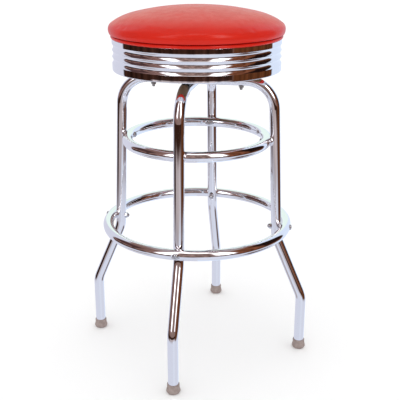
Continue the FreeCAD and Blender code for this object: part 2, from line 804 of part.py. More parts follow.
def tip_discs():
    """Four steel discs that keep the tube ends from cutting through the rubber."""
    body = new_body("tip_discs")
    sketch = new_sketch(body, "tip_discs_outline", "XY_Plane", D["tip_floor"])
    draw_circle(sketch, "disc", tube_radius - D["disc_gap"], D["foot_radius"], 0)
    disc = pad(body, "tip_disc", sketch, D["disc_thickness"])
    pattern(body, "tip_discs_group", [disc], LEG_COUNT)
    node(body, "tip_discs")


# Swivel

def swivel_plate(name, base, race_side, hole_radius):
    """A square steel plate with a pressed ball track, its corners over the rails.

    base is the height of the plate's lower face, and race_side is 1 where the track is on
    top and -1 where it is underneath.
    """
    body = new_body(name)
    outline = new_sketch(body, name + "_outline", "XY_Plane", base)
    half = D["plate_side"] / 2
    corner = ("round", D["plate_corner"])
    draw(outline, [(half, -half, corner), (half, half, corner), (-half, half, corner), (-half, -half, corner)])
    pad(body, name + "_sheet", outline, D["plate_thickness"])
    face = base + D["plate_thickness"] if race_side > 0 else base
    crest = face + D["race_rise"] * race_side
    sink = face - D["plate_thickness"] / 2 * race_side
    track = new_sketch(body, name + "_track_outline")
    inner = D["race_radius"] - D["race_land"]
    outer = D["race_radius"] + D["race_land"]
    draw(track, [(inner, sink), (outer, sink), (outer, crest), (inner, crest)])
    revolve(body, name + "_track", track)
    groove_sketch = new_sketch(body, name + "_groove_outline")
    draw_circle(groove_sketch, "groove", D["ball_radius"] + D["ball_clearance"], D["race_radius"], ball_height)
    before = body.Shape.Volume
    revolve(body, name + "_groove", groove_sketch, kind="PartDesign::Groove")
    if not body.Shape.Volume < before:
        raise ValueError("%s has no ball groove" % name)
    if race_side > 0:
        dish = new_sketch(body, name + "_dish_outline")
        draw(dish, [
            (0, sink), (D["dish_radius"] + D["dish_skirt"], sink), (D["dish_radius"], dish_top), (0, dish_top),
        ])
        revolve(body, name + "_dish", dish)
        hollow = new_sketch(body, name + "_hollow_outline")
        under = dish_top - D["plate_thickness"]
        hollow_top = D["dish_radius"] - D["dish_hollow_slope"]
        draw(hollow, [(0, base - 1), (D["dish_radius"], base - 1), (hollow_top, under), (0, under)])
        revolve(body, name + "_hollow", hollow, kind="PartDesign::Groove")
    holes = new_sketch(body, name + "_holes", "XY_Plane", base - 2)
    draw_circle(holes, "middle", hole_radius)
    spacing = D["rail_bolt_radius"] / math.sqrt(2)
    radius = D["bolt_hole"] / 2 if race_side > 0 else D["screw_radius"] + D["screw_hole_gap"]
    for number, (x_sign, y_sign) in enumerate(((1, 1), (-1, 1), (-1, -1), (1, -1))):
        draw_circle(holes, "corner%d" % number, radius, spacing * x_sign, spacing * y_sign)
    pocket(body, name + "_drilling", holes, D["swivel_height"], reverse=True)
    place(body, turn=QUARTER / 2)
    node(body, name)


def ball_cage():
    """A flat ring that keeps the balls apart."""
    body = new_body("ball_cage")
    sketch = new_sketch(body, "ball_cage_outline", "XY_Plane", ball_height - D["cage_thickness"] / 2)
    draw_circle(sketch, "outer", D["cage_outer_radius"])
    draw_circle(sketch, "inner", D["cage_inner_radius"])
    pad(body, "ball_cage_ring", sketch, D["cage_thickness"])
    hole = new_sketch(body, "ball_cage_pocket_outline", "XY_Plane", ball_height - D["cage_thickness"])
    draw_circle(hole, "hole", D["ball_radius"] + D["cage_pocket_gap"], D["race_radius"], 0)
    first = pocket(body, "ball_cage_pocket", hole, D["cage_thickness"] * 2, reverse=True)
    pattern(body, "ball_cage_pockets", [first], D["ball_count"])
    node(body, "ball_cage")


def bearing_balls():
    """The ring of steel balls that the seat turns on."""
    body = new_body("bearing_balls")
    sketch = new_sketch(body, "ball_outline")
    middle = D["race_radius"]
    draw(sketch, [
        (middle, ball_height - D["ball_radius"], ("half",)),
        (middle, ball_height + D["ball_radius"]),
    ])
    draw_turning_axis(sketch, middle)
    turning = revolve(body, "ball_turning", sketch, "Axis0")
    pattern(body, "bearing_balls_group", [turning], D["ball_count"])
    node(body, "bearing_balls")


def swivel_pin():
    """The riveted pin that holds the two plates together."""
    body = new_body("swivel_pin")
    sketch = new_sketch(body, "swivel_pin_outline")
    shank = D["kingpin_radius"]
    head = D["kingpin_head_radius"]
    spacer = shank + D["kingpin_collar"]
    under = dish_top - D["plate_thickness"]
    bottom = under - D["kingpin_head_height"]
    upper_face = board_bottom + D["collar_gap"] / 2
    top = upper_face + D["kingpin_head_height"]
    draw(sketch, [
        (0, bottom),
        (head, bottom),
        (head, under),
        (shank, under),
        (shank, dish_top),
        (spacer, dish_top),
        (spacer, upper_plate_bottom - D["collar_gap"] / 2),
        (shank, upper_plate_bottom - D["collar_gap"] / 2),
        (shank, upper_face),
        (head, upper_face),
        (head, top, ("round", D["kingpin_head_round"])),
        (0, top),
    ])
    revolve(body, "swivel_pin_turning", sketch)
    node(body, "swivel_pin")


# Seat

def seat_board():
    """The round plywood board under the cushion, with room for the end of the swivel pin."""
    body = new_body("board_blank")
    sketch = new_sketch(body, "seat_board_outline")
    pocket_top = board_bottom + D["board_pocket_depth"]
    pocket_radius = D["board_pocket_radius"]
    draw(sketch, [
        (0, pocket_top),
        (pocket_radius, pocket_top),
        (pocket_radius, board_bottom),
        (D["board_radius"] - D["board_corner"], board_bottom),
        (D["board_radius"], board_bottom + D["board_corner"]),
        (D["board_radius"], board_top, ("round", D["board_top_round"])),
        (0, board_top),
    ])
    revolve(body, "seat_board_turning", sketch)
    pilot = new_sketch(body, "seat_board_pilot_holes", "XY_Plane", board_bottom - 1)
    for number, (x_sign, y_sign) in enumerate(((1, 0), (0, 1), (-1, 0), (0, -1))):
        offset = D["rail_bolt_radius"]
        draw_circle(pilot, "pilot%d" % number, D["screw_radius"], offset * x_sign, offset * y_sign)
    pocket(body, "seat_board_pilots", pilot, D["screw_length"] + D["pilot_room"], reverse=True)
    return body


def cushion_form(name, inset, wall_radius, crease_height, bottom, corner):
    """The crowned form of the cushion and its straight wall inside the band.

    inset shrinks the whole form, so that the padding fits inside its cover, and corner
    is the bevel at the foot of the wall.
    """
    body = new_body(name)
    sketch = new_sketch(body, name + "_outline")
    top = D["cushion_top"] - inset
    crown = D["crown_radius"] - inset
    edge = D["crown_edge_radius"] - inset
    shoulder = D["cushion_shoulder"] - inset
    under = D["cushion_under"] - inset
    wide = D["cushion_radius"] - inset
    level = D["cushion_wide_height"]

    shoulder_centre = Vector(wide.value - shoulder.value, level.value, 0)
    crown_centre = Vector(0, top.value - crown.value, 0)
    reach_crown = crown.value - edge.value
    reach_shoulder = edge.value - shoulder.value
    gap = shoulder_centre - crown_centre
    share = (reach_crown ** 2 - reach_shoulder ** 2 + gap.Length ** 2) / (2 * gap.Length)
    height = math.sqrt(reach_crown ** 2 - share ** 2)
    ahead = Vector(gap).normalize()
    aside = Vector(-ahead.y, ahead.x, 0)
    edge_centre = min(
        (crown_centre + ahead * share + aside * height * sign for sign in (1, -1)),
        key=lambda point: abs(point.x),
    )
    crown_end = crown_centre + (edge_centre - crown_centre).normalize() * crown.value
    edge_end = edge_centre + (shoulder_centre - edge_centre).normalize() * edge.value
    wide_point = Vector(wide.value, level.value, 0)
    under_centre = Vector(wide.value - under.value, level.value, 0)
    fall = level.value - crease_height.value
    crease = Vector(under_centre.x + math.sqrt(under.value ** 2 - fall ** 2), crease_height.value, 0)
    apex = Vector(0, top.value, 0)

    spots = [apex, crown_end, edge_end, wide_point, crease]
    centres = [crown_centre, edge_centre, shoulder_centre, under_centre]
    arcs = []
    for start, end, centre in zip(spots, spots[1:], centres):
        arc, start_end = arc_between(start, end, centre)
        arcs.append((sketch.addGeometry(arc), start_end, 3 - start_end))
    for first, second in zip(arcs, arcs[1:]):
        relate(sketch, "Tangent", first[0], first[2], second[0], second[1])
    for label, arc, size in zip(("crown", "edge", "shoulder", "under"), arcs, (crown, edge, shoulder, under)):
        constrain(sketch, label, size, "Radius", arc[0])
    pin_point(sketch, "apex", arcs[0][0], arcs[0][1], 0, top)
    relate(sketch, "PointOnObject", arcs[0][0], 3, -2)
    pin_point(sketch, "wide", arcs[2][0], arcs[2][2], wide, level)
    constrain(sketch, "level", level, "DistanceY", *ORIGIN_POINT, arcs[2][0], 3)
    constrain(sketch, "creaseY", crease_height, "DistanceY", *ORIGIN_POINT, arcs[3][0], arcs[3][2])

    wall_top = crease_height - D["crease_drop"]
    corners = [
        (wall_radius, wall_top),
        (wall_radius, bottom + corner),
        (wall_radius - corner, bottom),
        (as_size(0), bottom),
    ]
    points = [crease] + [Vector(x.value, y.value, 0) for x, y in corners] + [apex]
    lines = [sketch.addGeometry(Part.LineSegment(a, b)) for a, b in zip(points, points[1:])]
    relate(sketch, "Coincident", arcs[3][0], arcs[3][2], lines[0], 1)
    for first, second in zip(lines, lines[1:]):
        relate(sketch, "Coincident", first, 2, second, 1)
    relate(sketch, "Coincident", lines[-1], 2, arcs[0][0], arcs[0][1])
    for number, (line, (x, y)) in enumerate(zip(lines[1:], corners)):
        pin_point(sketch, "wall%d" % number, line, 1, x, y)
    doc.recompute()
    revolve(body, name + "_turning", sketch)
    return body


def seat_cushion(fasteners):
    """The foam pad and its vinyl cover, which is turned under the board."""
    inset = D["cover_thickness"]
    crease_inside = D["crease_height"] + inset
    foam = cushion_form("foam_pad", inset, foam_wall_radius - D["foam_gap"], crease_inside, board_top, D["board_corner"])
    node(foam, "foam_pad")
    skin = cushion_form("cover_skin", as_size(0), D["cover_wall_radius"], D["crease_height"],
                        board_bottom - D["hem_thickness"], D["hem_corner"])
    hollow = cushion_form("cover_hollow", inset, foam_wall_radius, crease_inside, board_bottom, D["board_corner"])
    mouth = primitive("Cylinder", "cover_mouth", Radius=D["hem_radius"], Height=2 * SHALLOW_REACH)
    place(mouth, z=board_bottom - SHALLOW_REACH)
    node(cut("seat_cover", skin, [hollow, mouth] + fasteners), "seat_cover")


def seat_welt():
    """The piped welt between the cushion and the band."""
    welt = primitive("Torus", "seat_welt", Radius1=D["welt_radius"], Radius2=D["welt_thickness"] / 2)
    place(welt, z=D["welt_height"])
    node(welt, "seat_welt")


def chrome_band():
    """The fluted band: one strip of sheet with three rolled flutes and a flange under the board."""
    body = new_body("chrome_band")
    sketch = new_sketch(body, "chrome_band_outline")
    pitch = D["flute_pitch"]
    depth = D["flute_depth"]
    bow = (pitch * pitch / 4 + depth * depth) / (depth * 2)
    count = D["flute_count"].value
    outer = []
    for number in range(count):
        outer.append((D["band_radius"], D["flute_top"] - pitch * number, ("bow", bow, 1)))
    flute_bottom = D["flute_top"] - pitch * count
    sheet_back = D["band_sheet"]
    inner_radius = D["band_radius"] - sheet_back
    inner = []
    for number in range(count):
        inner.append((inner_radius, flute_bottom + pitch * number, ("bow", bow, -1)))
    flange_top = D["band_bottom"] + sheet_back
    draw(sketch, [(D["band_radius"], D["band_top"])] + outer + [
        (D["band_radius"], flute_bottom),
        (D["band_radius"], D["band_bottom"], ("round", D["band_corner"])),
        (D["band_flange_radius"], D["band_bottom"]),
        (D["band_flange_radius"], flange_top),
        (inner_radius, flange_top, ("round", D["band_corner"] - sheet_back)),
    ] + inner + [
        (inner_radius, D["flute_top"]),
        (inner_radius, D["band_top"]),
    ])
    revolve(body, "chrome_band_rolling", sketch)
    hole = new_sketch(body, "band_screw_hole_outline", "XY_Plane", D["band_bottom"] - 1)
    draw_circle(hole, "hole", D["flange_screw_radius"] + D["flange_hole_gap"], D["flange_screw_circle"], 0)
    first = pocket(body, "band_screw_hole", hole, D["band_sheet"] + 2, reverse=True)
    pattern(body, "band_screw_holes", [first], D["flange_screw_count"])
    node(body, "chrome_band")


def headed_pins(name, circle, count, base, shank, length, head, head_height):
    """Screws driven up into the board, with their heads below a height."""
    body = new_body(name)
    sketch = new_sketch(body, name + "_outline")
    point = shank * 1.5
    draw(sketch, [
        (circle, base - head_height),
        (circle + head, base - head_height, ("round", head_height * 0.7)),
        (circle + head, base),
        (circle + shank, base),
        (circle + shank, base + length - point),
        (circle, base + length),
    ])
    draw_turning_axis(sketch, as_size(circle))
    turning = revolve(body, name + "_turning", sketch, "Axis0")
    pattern(body, name + "_group", [turning], count)
    return node(body, name)


def hem_staples():
    """Staples that hold the cover's hem to the board."""
    body = new_body("hem_staples")
    base = board_bottom - D["hem_thickness"]
    wire = D["staple_wire"]
    half = D["staple_width"] / 2
    sketch = new_sketch(body, "hem_staple_outline", "YZ_Plane", D["staple_circle"])
    top = base + D["staple_leg"]
    draw(sketch, [
        (-half, base - wire), (half, base - wire), (half, top), (half - wire, top),
        (half - wire, base), (-half + wire, base), (-half + wire, top), (-half, top),
    ])
    staple = pad(body, "hem_staple", sketch, wire)
    pattern(body, "hem_staples_group", [staple], D["staple_count"])
    return node(body, "hem_staples")


def build():
    leg_hoop("side_leg_hoop", "X")
    leg_hoop("front_leg_hoop", "Y")
    ring("upper_ring", D["upper_ring_radius"], D["upper_ring_height"], True)
    ring("footrest_ring", D["foot_ring_radius"], D["foot_ring_height"], False)

    cap_face = leg_radius(D["foot_ring_height"]) - tube_radius + D["seat_depth"]
    foot_head_face = D["foot_ring_radius"] + tube_radius - D["seat_depth"]
    ring_bolts("footrest_ring_bolts", foot_head_face, cap_face - D["cap_hex_height"], D["foot_ring_height"], False)
    cap_nuts("footrest_ring_cap_nuts", cap_face, D["foot_ring_height"])

    collar_face = D["upper_ring_radius"] + tube_radius + D["lap_gap"] + D["tube_wall"] + D["collar_nut_gap"]
    upper_head_face = D["upper_ring_radius"] - tube_radius + D["seat_depth"]
    ring_bolts("upper_ring_bolts", upper_head_face, collar_face + D["collar_height"], D["upper_ring_height"], True)
    collar_nuts("upper_ring_collar_nuts", collar_face, D["upper_ring_height"])

    rail_bolts()
    rail_flange_nuts()
    for leg, x_sign, y_sign in LEGS:
        rubber_tip(leg, x_sign, y_sign)
    tip_discs()

    swivel_plate("swivel_lower_plate", rail_top, 1, D["kingpin_radius"])
    swivel_plate("swivel_upper_plate", upper_plate_bottom, -1, D["kingpin_radius"] + D["kingpin_clearance"])
    ball_cage()
    bearing_balls()
    swivel_pin()

    headed_pins("seat_screws", D["rail_bolt_radius"], LEG_COUNT, upper_plate_bottom, D["screw_radius"],
                D["screw_length"] + D["plate_thickness"], D["screw_head_radius"], D["screw_head_height"])
    flange_screws = headed_pins("band_flange_screws", D["flange_screw_circle"], D["flange_screw_count"],
                                D["band_bottom"], D["flange_screw_radius"], D["flange_screw_length"],
                                D["flange_screw_head"], D["flange_screw_head_height"])
    fasteners = [flange_screws, hem_staples()]
    node(cut("seat_board", seat_board(), fasteners), "seat_board")
    seat_cushion(fasteners)
    seat_welt()
    chrome_band()


def check_document():
    """Stops if any object of the document failed or any sub-part has no valid shape."""
    for thing in doc.Objects:
        bad = [word for word in thing.State if word in ("Invalid", "Error")]
        if bad:
            raise ValueError("%s is %s" % (thing.Name, bad))
    for thing in NODES:
        shape = thing.Shape
        if shape.isNull() or not shape.isValid() or not shape.Solids:
            raise ValueError("%s has no valid solid" % thing.Label)


def write_parts():
    os.makedirs("parts", exist_ok=True)
    for thing in NODES:
        thing.Shape.exportStep("parts/%s.step" % thing.Label)
        print("%-24s solids %3d volume %12.1f mm3" % (thing.Label, len(thing.Shape.Solids), thing.Shape.Volume))


build()
doc.recompute()
check_document()
write_parts()
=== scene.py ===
import json
import math

import bpy
import numpy as np
from bpy.props import FloatProperty, FloatVectorProperty, IntProperty, PointerProperty
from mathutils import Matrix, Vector, noise


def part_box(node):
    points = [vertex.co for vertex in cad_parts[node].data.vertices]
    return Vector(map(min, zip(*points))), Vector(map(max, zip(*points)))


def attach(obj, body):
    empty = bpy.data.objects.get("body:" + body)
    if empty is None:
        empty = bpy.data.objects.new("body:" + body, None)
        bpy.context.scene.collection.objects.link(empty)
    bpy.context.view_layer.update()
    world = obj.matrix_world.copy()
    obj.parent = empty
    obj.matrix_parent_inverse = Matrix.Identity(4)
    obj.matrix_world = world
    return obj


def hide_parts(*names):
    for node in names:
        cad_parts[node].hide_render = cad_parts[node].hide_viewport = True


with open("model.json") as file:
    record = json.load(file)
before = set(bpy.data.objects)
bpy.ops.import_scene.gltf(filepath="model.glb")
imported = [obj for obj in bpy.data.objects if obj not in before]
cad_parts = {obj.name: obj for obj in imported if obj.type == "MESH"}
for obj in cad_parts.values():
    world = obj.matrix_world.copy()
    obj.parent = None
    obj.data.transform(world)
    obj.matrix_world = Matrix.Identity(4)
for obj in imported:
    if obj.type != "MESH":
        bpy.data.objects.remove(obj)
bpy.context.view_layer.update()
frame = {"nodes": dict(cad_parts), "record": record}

bl_info = {
    "name": "Diner Counter Stool",
    "version": (1, 0, 0),
    "blender": (4, 5, 0),
    "location": "3D View > Sidebar > Stool",
    "description": "Dresses the stool's frame with its cushion, band, hardware and finishes",
    "category": "Object",
}

FULL_TURN = 2 * math.pi

# Places read from the frame, in metres

COVER_LOW, COVER_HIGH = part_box("seat_cover")
FOAM_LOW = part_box("foam_pad")[0]
WELT_LOW, WELT_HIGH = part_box("seat_welt")
BAND_LOW, BAND_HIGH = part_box("chrome_band")
STAPLES_LOW, STAPLES_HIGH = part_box("hem_staples")
FLANGE_SCREWS_LOW, FLANGE_SCREWS_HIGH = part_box("band_flange_screws")

# Sizes of the cushion inside the band, in metres

COVER_INSET = 0.0008
COVER_WALL_RADIUS = 0.1706
HEM_RADIUS = 0.146
HEM_CORNER = 0.0021
HEM_THICKNESS = 0.0008
LEDGE_SLOPE = 0.0008
FOAM_INSET = 0.0034
FOAM_WALL_RADIUS = 0.1688
FOAM_CORNER = 0.0015
FOAM_LEDGE_SLOPE = 0.001

# How the cover is swollen and gathered: the crease is held up to a height above it, and no
# point moves further than the limit

SWELL_LIMIT = 0.0012
HELD_ABOVE_CREASE = 0.0016
CLOTH_FRAMES = 20
COVER_CLOTH = {
    "quality": 5,
    "mass": 0.4,
    "tension_stiffness": 40,
    "compression_stiffness": 40,
    "shear_stiffness": 20,
    "bending_stiffness": 4,
    "use_pressure": True,
    "vertex_group_mass": "crease",
}
GATHER_START = 0.0006
GATHER_REACH = 0.016
GATHER_OUTSIDE = 0.1
GATHER_WANDER = 9

# Noise round the seat: its fineness, and the layer that it is read from

WANDER_NOISE = (6, 2.0)
STRENGTH_NOISE = (14, 7.0)
RIPPLE_NOISE = (40, 0.0)

# How much the welt swells and thins, as a share of its thickness

WELT_RIPPLE = 0.035

# Steps of the meshes

COVER_SEGMENTS = 240
COVER_STEPS = 1.6
FOAM_SEGMENTS = 96
FOAM_STEPS = 0.8
WELT_SEGMENTS = 480
WELT_SIDES = 16
FLUTE_STEPS = 18

# Rounding of a flute's upper crest as a share of the lower one's

UPPER_CREST = 0.7


# Settings that a user would change

class StoolCushionSettings(bpy.types.PropertyGroup):
    crown: FloatProperty(
        name="Crown", description="Radius of the crown over the middle of the seat",
        default=0.593, unit="LENGTH")
    edge: FloatProperty(
        name="Edge", description="Radius where the crown falls to the shoulder",
        default=0.134, unit="LENGTH")
    shoulder: FloatProperty(
        name="Shoulder", description="Radius of the cushion's shoulder",
        default=0.0153, unit="LENGTH")
    under: FloatProperty(
        name="Drawn-in side", description="Radius of the side below the widest part",
        default=0.020, unit="LENGTH")
    widest_height: FloatProperty(
        name="Widest height", description="Height of the widest part above the floor",
        default=0.7158, unit="LENGTH")
    crease_height: FloatProperty(
        name="Crease height", description="Height of the crease between cushion and welt",
        default=0.7052, unit="LENGTH")
    puckers: IntProperty(
        name="Puckers", description="Small gathers round the crease", default=64, min=0)
    pucker_depth: FloatProperty(
        name="Pucker depth", description="Depth of a gather at the crease",
        default=0.00035, unit="LENGTH")
    pressure: FloatProperty(
        name="Pressure", description="How hard the foam pushes the cover out", default=4.0)
    red: FloatVectorProperty(
        name="Vinyl", description="Colour of the vinyl", default=(0.66, 0.007, 0.004),
        subtype="COLOR", min=0, max=1)


class StoolBandSettings(bpy.types.PropertyGroup):
    flutes: IntProperty(name="Flutes", description="Flutes rolled into the band", default=3, min=0)
    pitch: FloatProperty(
        name="Flute pitch", description="Spacing of the flutes", default=0.0134, unit="LENGTH")
    depth: FloatProperty(
        name="Flute depth", description="How far a flute is rolled in", default=0.0026,
        unit="LENGTH")
    crest: FloatProperty(
        name="Crest", description="Rounding of the crests between the flutes", default=0.0009,
        unit="LENGTH")
    top_flat: FloatProperty(
        name="Top flat", description="Plain strip above the flutes", default=0.0100,
        unit="LENGTH")
    radius: FloatProperty(
        name="Radius", description="Outside of the band's plain strips", default=0.1752,
        unit="LENGTH")
    sheet: FloatProperty(
        name="Sheet", description="Thickness of the band", default=0.0009, unit="LENGTH")
    corner: FloatProperty(
        name="Corner", description="Rounding of the band's lower edge", default=0.0016,
        unit="LENGTH")
    flange_radius: FloatProperty(
        name="Flange", description="Inner edge of the flange under the board", default=0.157,
        unit="LENGTH")
    segments: IntProperty(
        name="Segments", description="Steps round the band", default=288, min=16)


class StoolHardwareSettings(bpy.types.PropertyGroup):
    staples: IntProperty(name="Staples", description="Staples in the hem", default=36, min=1)
    staple_width: FloatProperty(
        name="Staple width", description="Crown of a staple", default=0.0093, unit="LENGTH")
    staple_leg: FloatProperty(
        name="Staple leg", description="Leg of a staple", default=0.0065, unit="LENGTH")
    staple_wire: FloatProperty(
        name="Staple wire", description="Thickness of the wire", default=0.0007, unit="LENGTH")
    staple_scatter: FloatProperty(
        name="Staple scatter", description="How far a staple may be turned from true",
        default=0.04, subtype="ANGLE")
    screws: IntProperty(
        name="Band screws", description="Screws through the band's flange", default=8, min=1)
    screw_head: FloatProperty(
        name="Screw head", description="Radius of a screw's head", default=0.0033, unit="LENGTH")
    screw_rise: FloatProperty(
        name="Screw head height", description="Height of a screw's head", default=0.0016,
        unit="LENGTH")
    screw_shank: FloatProperty(
        name="Screw shank", description="Radius of a screw's shank", default=0.0016,
        unit="LENGTH")
    screw_leg: FloatProperty(
        name="Screw length", description="Length of a screw in the board", default=0.0105,
        unit="LENGTH")


class StoolFinishSettings(bpy.types.PropertyGroup):
    chrome: FloatVectorProperty(
        name="Chrome", description="Colour of the plated tube and band",
        default=(0.87, 0.87, 0.89), subtype="COLOR", min=0, max=1)
    rubber: FloatVectorProperty(
        name="Rubber", description="Colour of the rubber tips",
        default=(0.27, 0.215, 0.20), subtype="COLOR", min=0, max=1)


class StoolStageSettings(bpy.types.PropertyGroup):
    azimuth: FloatProperty(
        name="Camera azimuth", description="Turn of the camera round the stool from the front",
        default=math.radians(11.84), subtype="ANGLE")
    distance: FloatProperty(
        name="Camera distance", description="Level distance from the stool's axis to the camera",
        default=1.59525, unit="LENGTH")
    offset: FloatProperty(
        name="Camera offset", description="How far the camera stands to the right of that line",
        default=0.0065, unit="LENGTH")
    height: FloatProperty(
        name="Camera height", description="Height of the camera above the floor",
        default=0.9073, unit="LENGTH")
    pitch: FloatProperty(
        name="Camera pitch", description="How far the camera looks down",
        default=math.radians(19.56), subtype="ANGLE")
    lens: FloatProperty(
        name="Lens", description="Focal length in millimetres on a 36 mm sensor", default=68.7)


# Node helpers

def add(tree, kind, inputs=None, **options):
    """A node with its options set, and its inputs set to values or joined to other outputs."""
    node = tree.nodes.new(kind)
    for name, value in options.items():
        setattr(node, name, value)
    for name, value in (inputs or {}).items():
        socket = node.inputs[name]
        if isinstance(value, bpy.types.NodeSocket):
            tree.links.new(value, socket)
        else:
            socket.default_value = value
    return node


def math_node(tree, operation, *values):
    return add(tree, "ShaderNodeMath", dict(enumerate(values)), operation=operation).outputs[0]


def new_material(name):
    material = bpy.data.materials.new(name)
    material.use_nodes = True
    material.node_tree.nodes.clear()
    return material, material.node_tree


def finish_material(tree, shader):
    add(tree, "ShaderNodeOutputMaterial", {"Surface": shader})


def object_noise(tree, scale, detail=2.0, stretch=(1, 1, 1)):
    """Noise on object coordinates, with features about 1/scale metres apart."""
    coordinates = add(tree, "ShaderNodeTexCoord").outputs["Object"]
    mapping = add(tree, "ShaderNodeMapping", {"Vector": coordinates, "Scale": stretch})
    return add(tree, "ShaderNodeTexNoise",
               {"Vector": mapping.outputs[0], "Scale": scale, "Detail": detail}).outputs[0]


def remap(tree, value, low, high, from_low=0.3, from_high=0.7):
    """A value's usual range, as noise has it, stretched between two others."""
    return add(tree, "ShaderNodeMapRange", {
        "Value": value, "From Min": from_low, "From Max": from_high, "To Min": low, "To Max": high,
    }).outputs[0]


def bump(tree, height, strength, distance):
    return add(tree, "ShaderNodeBump",
               {"Height": height, "Strength": strength, "Distance": distance}).outputs[0]


def colour_between(tree, factor, first, second):
    mix = add(tree, "ShaderNodeMix", {0: factor}, data_type="RGBA")
    mix.inputs["A"].default_value = (*first, 1)
    mix.inputs["B"].default_value = (*second, 1)
    return mix.outputs["Result"]


# Materials

def plated_metal(name, colour, roughness, wave, grain):
    """Bright plated steel: long soft waves from the rolling, and a faint haze of polish marks."""
    material, tree = new_material(name)
    waves = object_noise(tree, 22, 1.0, (1, 1, 0.35))
    haze = object_noise(tree, 900, 3.0)
    height = math_node(tree, "ADD", waves, math_node(tree, "MULTIPLY", haze, grain))
    shader = add(tree, "ShaderNodeBsdfPrincipled", {
        "Base Color": (*colour, 1),
        "Metallic": 1.0,
        "Roughness": remap(tree, object_noise(tree, 60, 4.0), roughness * 0.7, roughness * 1.5),
        "Normal": bump(tree, height, wave, 0.0004),
    })
    finish_material(tree, shader.outputs[0])
    return material


def dull_plating(name, colour, roughness):
    """Zinc plated steel with cloudy spangle."""
    material, tree = new_material(name)
    cloud = object_noise(tree, 160, 5.0)
    bright = tuple(min(1, c * 1.25) for c in colour)
    shader = add(tree, "ShaderNodeBsdfPrincipled", {
        "Base Color": colour_between(tree, cloud, colour, bright),
        "Metallic": 1.0,
        "Roughness": remap(tree, cloud, roughness * 0.7, roughness * 1.3),
        "Normal": bump(tree, object_noise(tree, 1400, 2.0), 0.15, 0.0002),
    })
    finish_material(tree, shader.outputs[0])
    return material


def black_enamel(name):
    """Black baked paint on pressed steel, with a slight orange peel."""
    material, tree = new_material(name)
    shader = add(tree, "ShaderNodeBsdfPrincipled", {
        "Base Color": colour_between(
            tree, object_noise(tree, 30), (0.018, 0.018, 0.019), (0.032, 0.031, 0.03)),
        "Roughness": remap(tree, object_noise(tree, 90), 0.30, 0.45),
        "Normal": bump(tree, object_noise(tree, 700), 0.2, 0.0002),
    })
    finish_material(tree, shader.outputs[0])
    return material


def tip_rubber(name, colour):
    """Matt moulded rubber with dust in its pores."""
    material, tree = new_material(name)
    pores = object_noise(tree, 1600, 4.0)
    dusty = tuple(min(1, c * 1.35 + 0.02) for c in colour)
    shader = add(tree, "ShaderNodeBsdfPrincipled", {
        "Base Color": colour_between(
            tree, remap(tree, object_noise(tree, 140, 5.0), 0, 1), colour, dusty),
        "Roughness": remap(tree, pores, 0.62, 0.85),
        "Specular IOR Level": 0.35,
        "Normal": bump(tree, pores, 0.35, 0.0003),
    })
    finish_material(tree, shader.outputs[0])
    return material


def red_vinyl(name, colour):
    """Smooth upholstery vinyl with a fine pressed grain."""
    material, tree = new_material(name)
    coordinates = add(tree, "ShaderNodeTexCoord").outputs["Object"]
    cells = add(tree, "ShaderNodeTexVoronoi", {"Vector": coordinates, "Scale": 1100},
                feature="DISTANCE_TO_EDGE").outputs["Distance"]
    grain = remap(tree, cells, 0.0, 1.0, 0.0, 0.12)
    soft = object_noise(tree, 26, 3.0)
    deep = tuple(c * 0.86 for c in colour)
    shader = add(tree, "ShaderNodeBsdfPrincipled", {
        "Base Color": colour_between(tree, soft, deep, colour),
        "Roughness": remap(tree, object_noise(tree, 70, 3.0), 0.42, 0.52),
        "Specular IOR Level": 0.28,
        "Specular Tint": (1.0, 0.74, 0.36, 1),
        "Coat Weight": 0.34,
        "Coat Roughness": 0.17,
        "Coat Tint": (1.0, 0.92, 0.80, 1),
        "Normal": bump(tree, grain, 0.10, 0.0002),
    })
    finish_material(tree, shader.outputs[0])
    return material


def seat_foam(name):
    """Cream open-cell foam."""
    material, tree = new_material(name)
    coordinates = add(tree, "ShaderNodeTexCoord").outputs["Object"]
    cells = add(tree, "ShaderNodeTexVoronoi",
                {"Vector": coordinates, "Scale": 700}).outputs["Distance"]
    shader = add(tree, "ShaderNodeBsdfPrincipled", {
        "Base Color": colour_between(tree, cells, (0.62, 0.52, 0.30), (0.86, 0.78, 0.55)),
        "Roughness": 0.95,
        "Normal": bump(tree, cells, 0.6, 0.0008),
    })
    finish_material(tree, shader.outputs[0])
    return material


def plywood_with_painted_shade(name):
    """Sanded plywood, its brown darkened as painted shade for the underside of the seat: long grain
    over the faces and plies round the edge.
    """
    material, tree = new_material(name)
    long_grain = object_noise(tree, 40, 6.0, (0.12, 1.0, 1.0))
    plies = add(tree, "ShaderNodeTexWave", {
        "Vector": add(tree, "ShaderNodeTexCoord").outputs["Object"], "Scale": 95, "Distortion": 0.6,
    }, bands_direction="Z").outputs["Fac"]
    shade = math_node(tree, "ADD", math_node(tree, "MULTIPLY", long_grain, 0.7),
                      math_node(tree, "MULTIPLY", plies, 0.3))
    shader = add(tree, "ShaderNodeBsdfPrincipled", {
        # Painted shade: the brown is kept dark so that the board under the seat, and its reflection
        # in the rings, looks shaded
        "Base Color": colour_between(tree, shade, (0.10, 0.055, 0.03), (0.24, 0.14, 0.075)),
        "Roughness": remap(tree, long_grain, 0.55, 0.8),
        "Normal": bump(tree, long_grain, 0.3, 0.0004),
    })
    finish_material(tree, shader.outputs[0])
    return material


def pale_paper(name, tone):
    """The plain floor under the stool."""
    material, tree = new_material(name)
    shader = add(tree, "ShaderNodeBsdfPrincipled", {
        "Base Color": (tone, tone, tone, 1),
        "Roughness": remap(tree, object_noise(tree, 3), 0.85, 0.95),
    })
    finish_material(tree, shader.outputs[0])
    return material


MATERIALS = {}


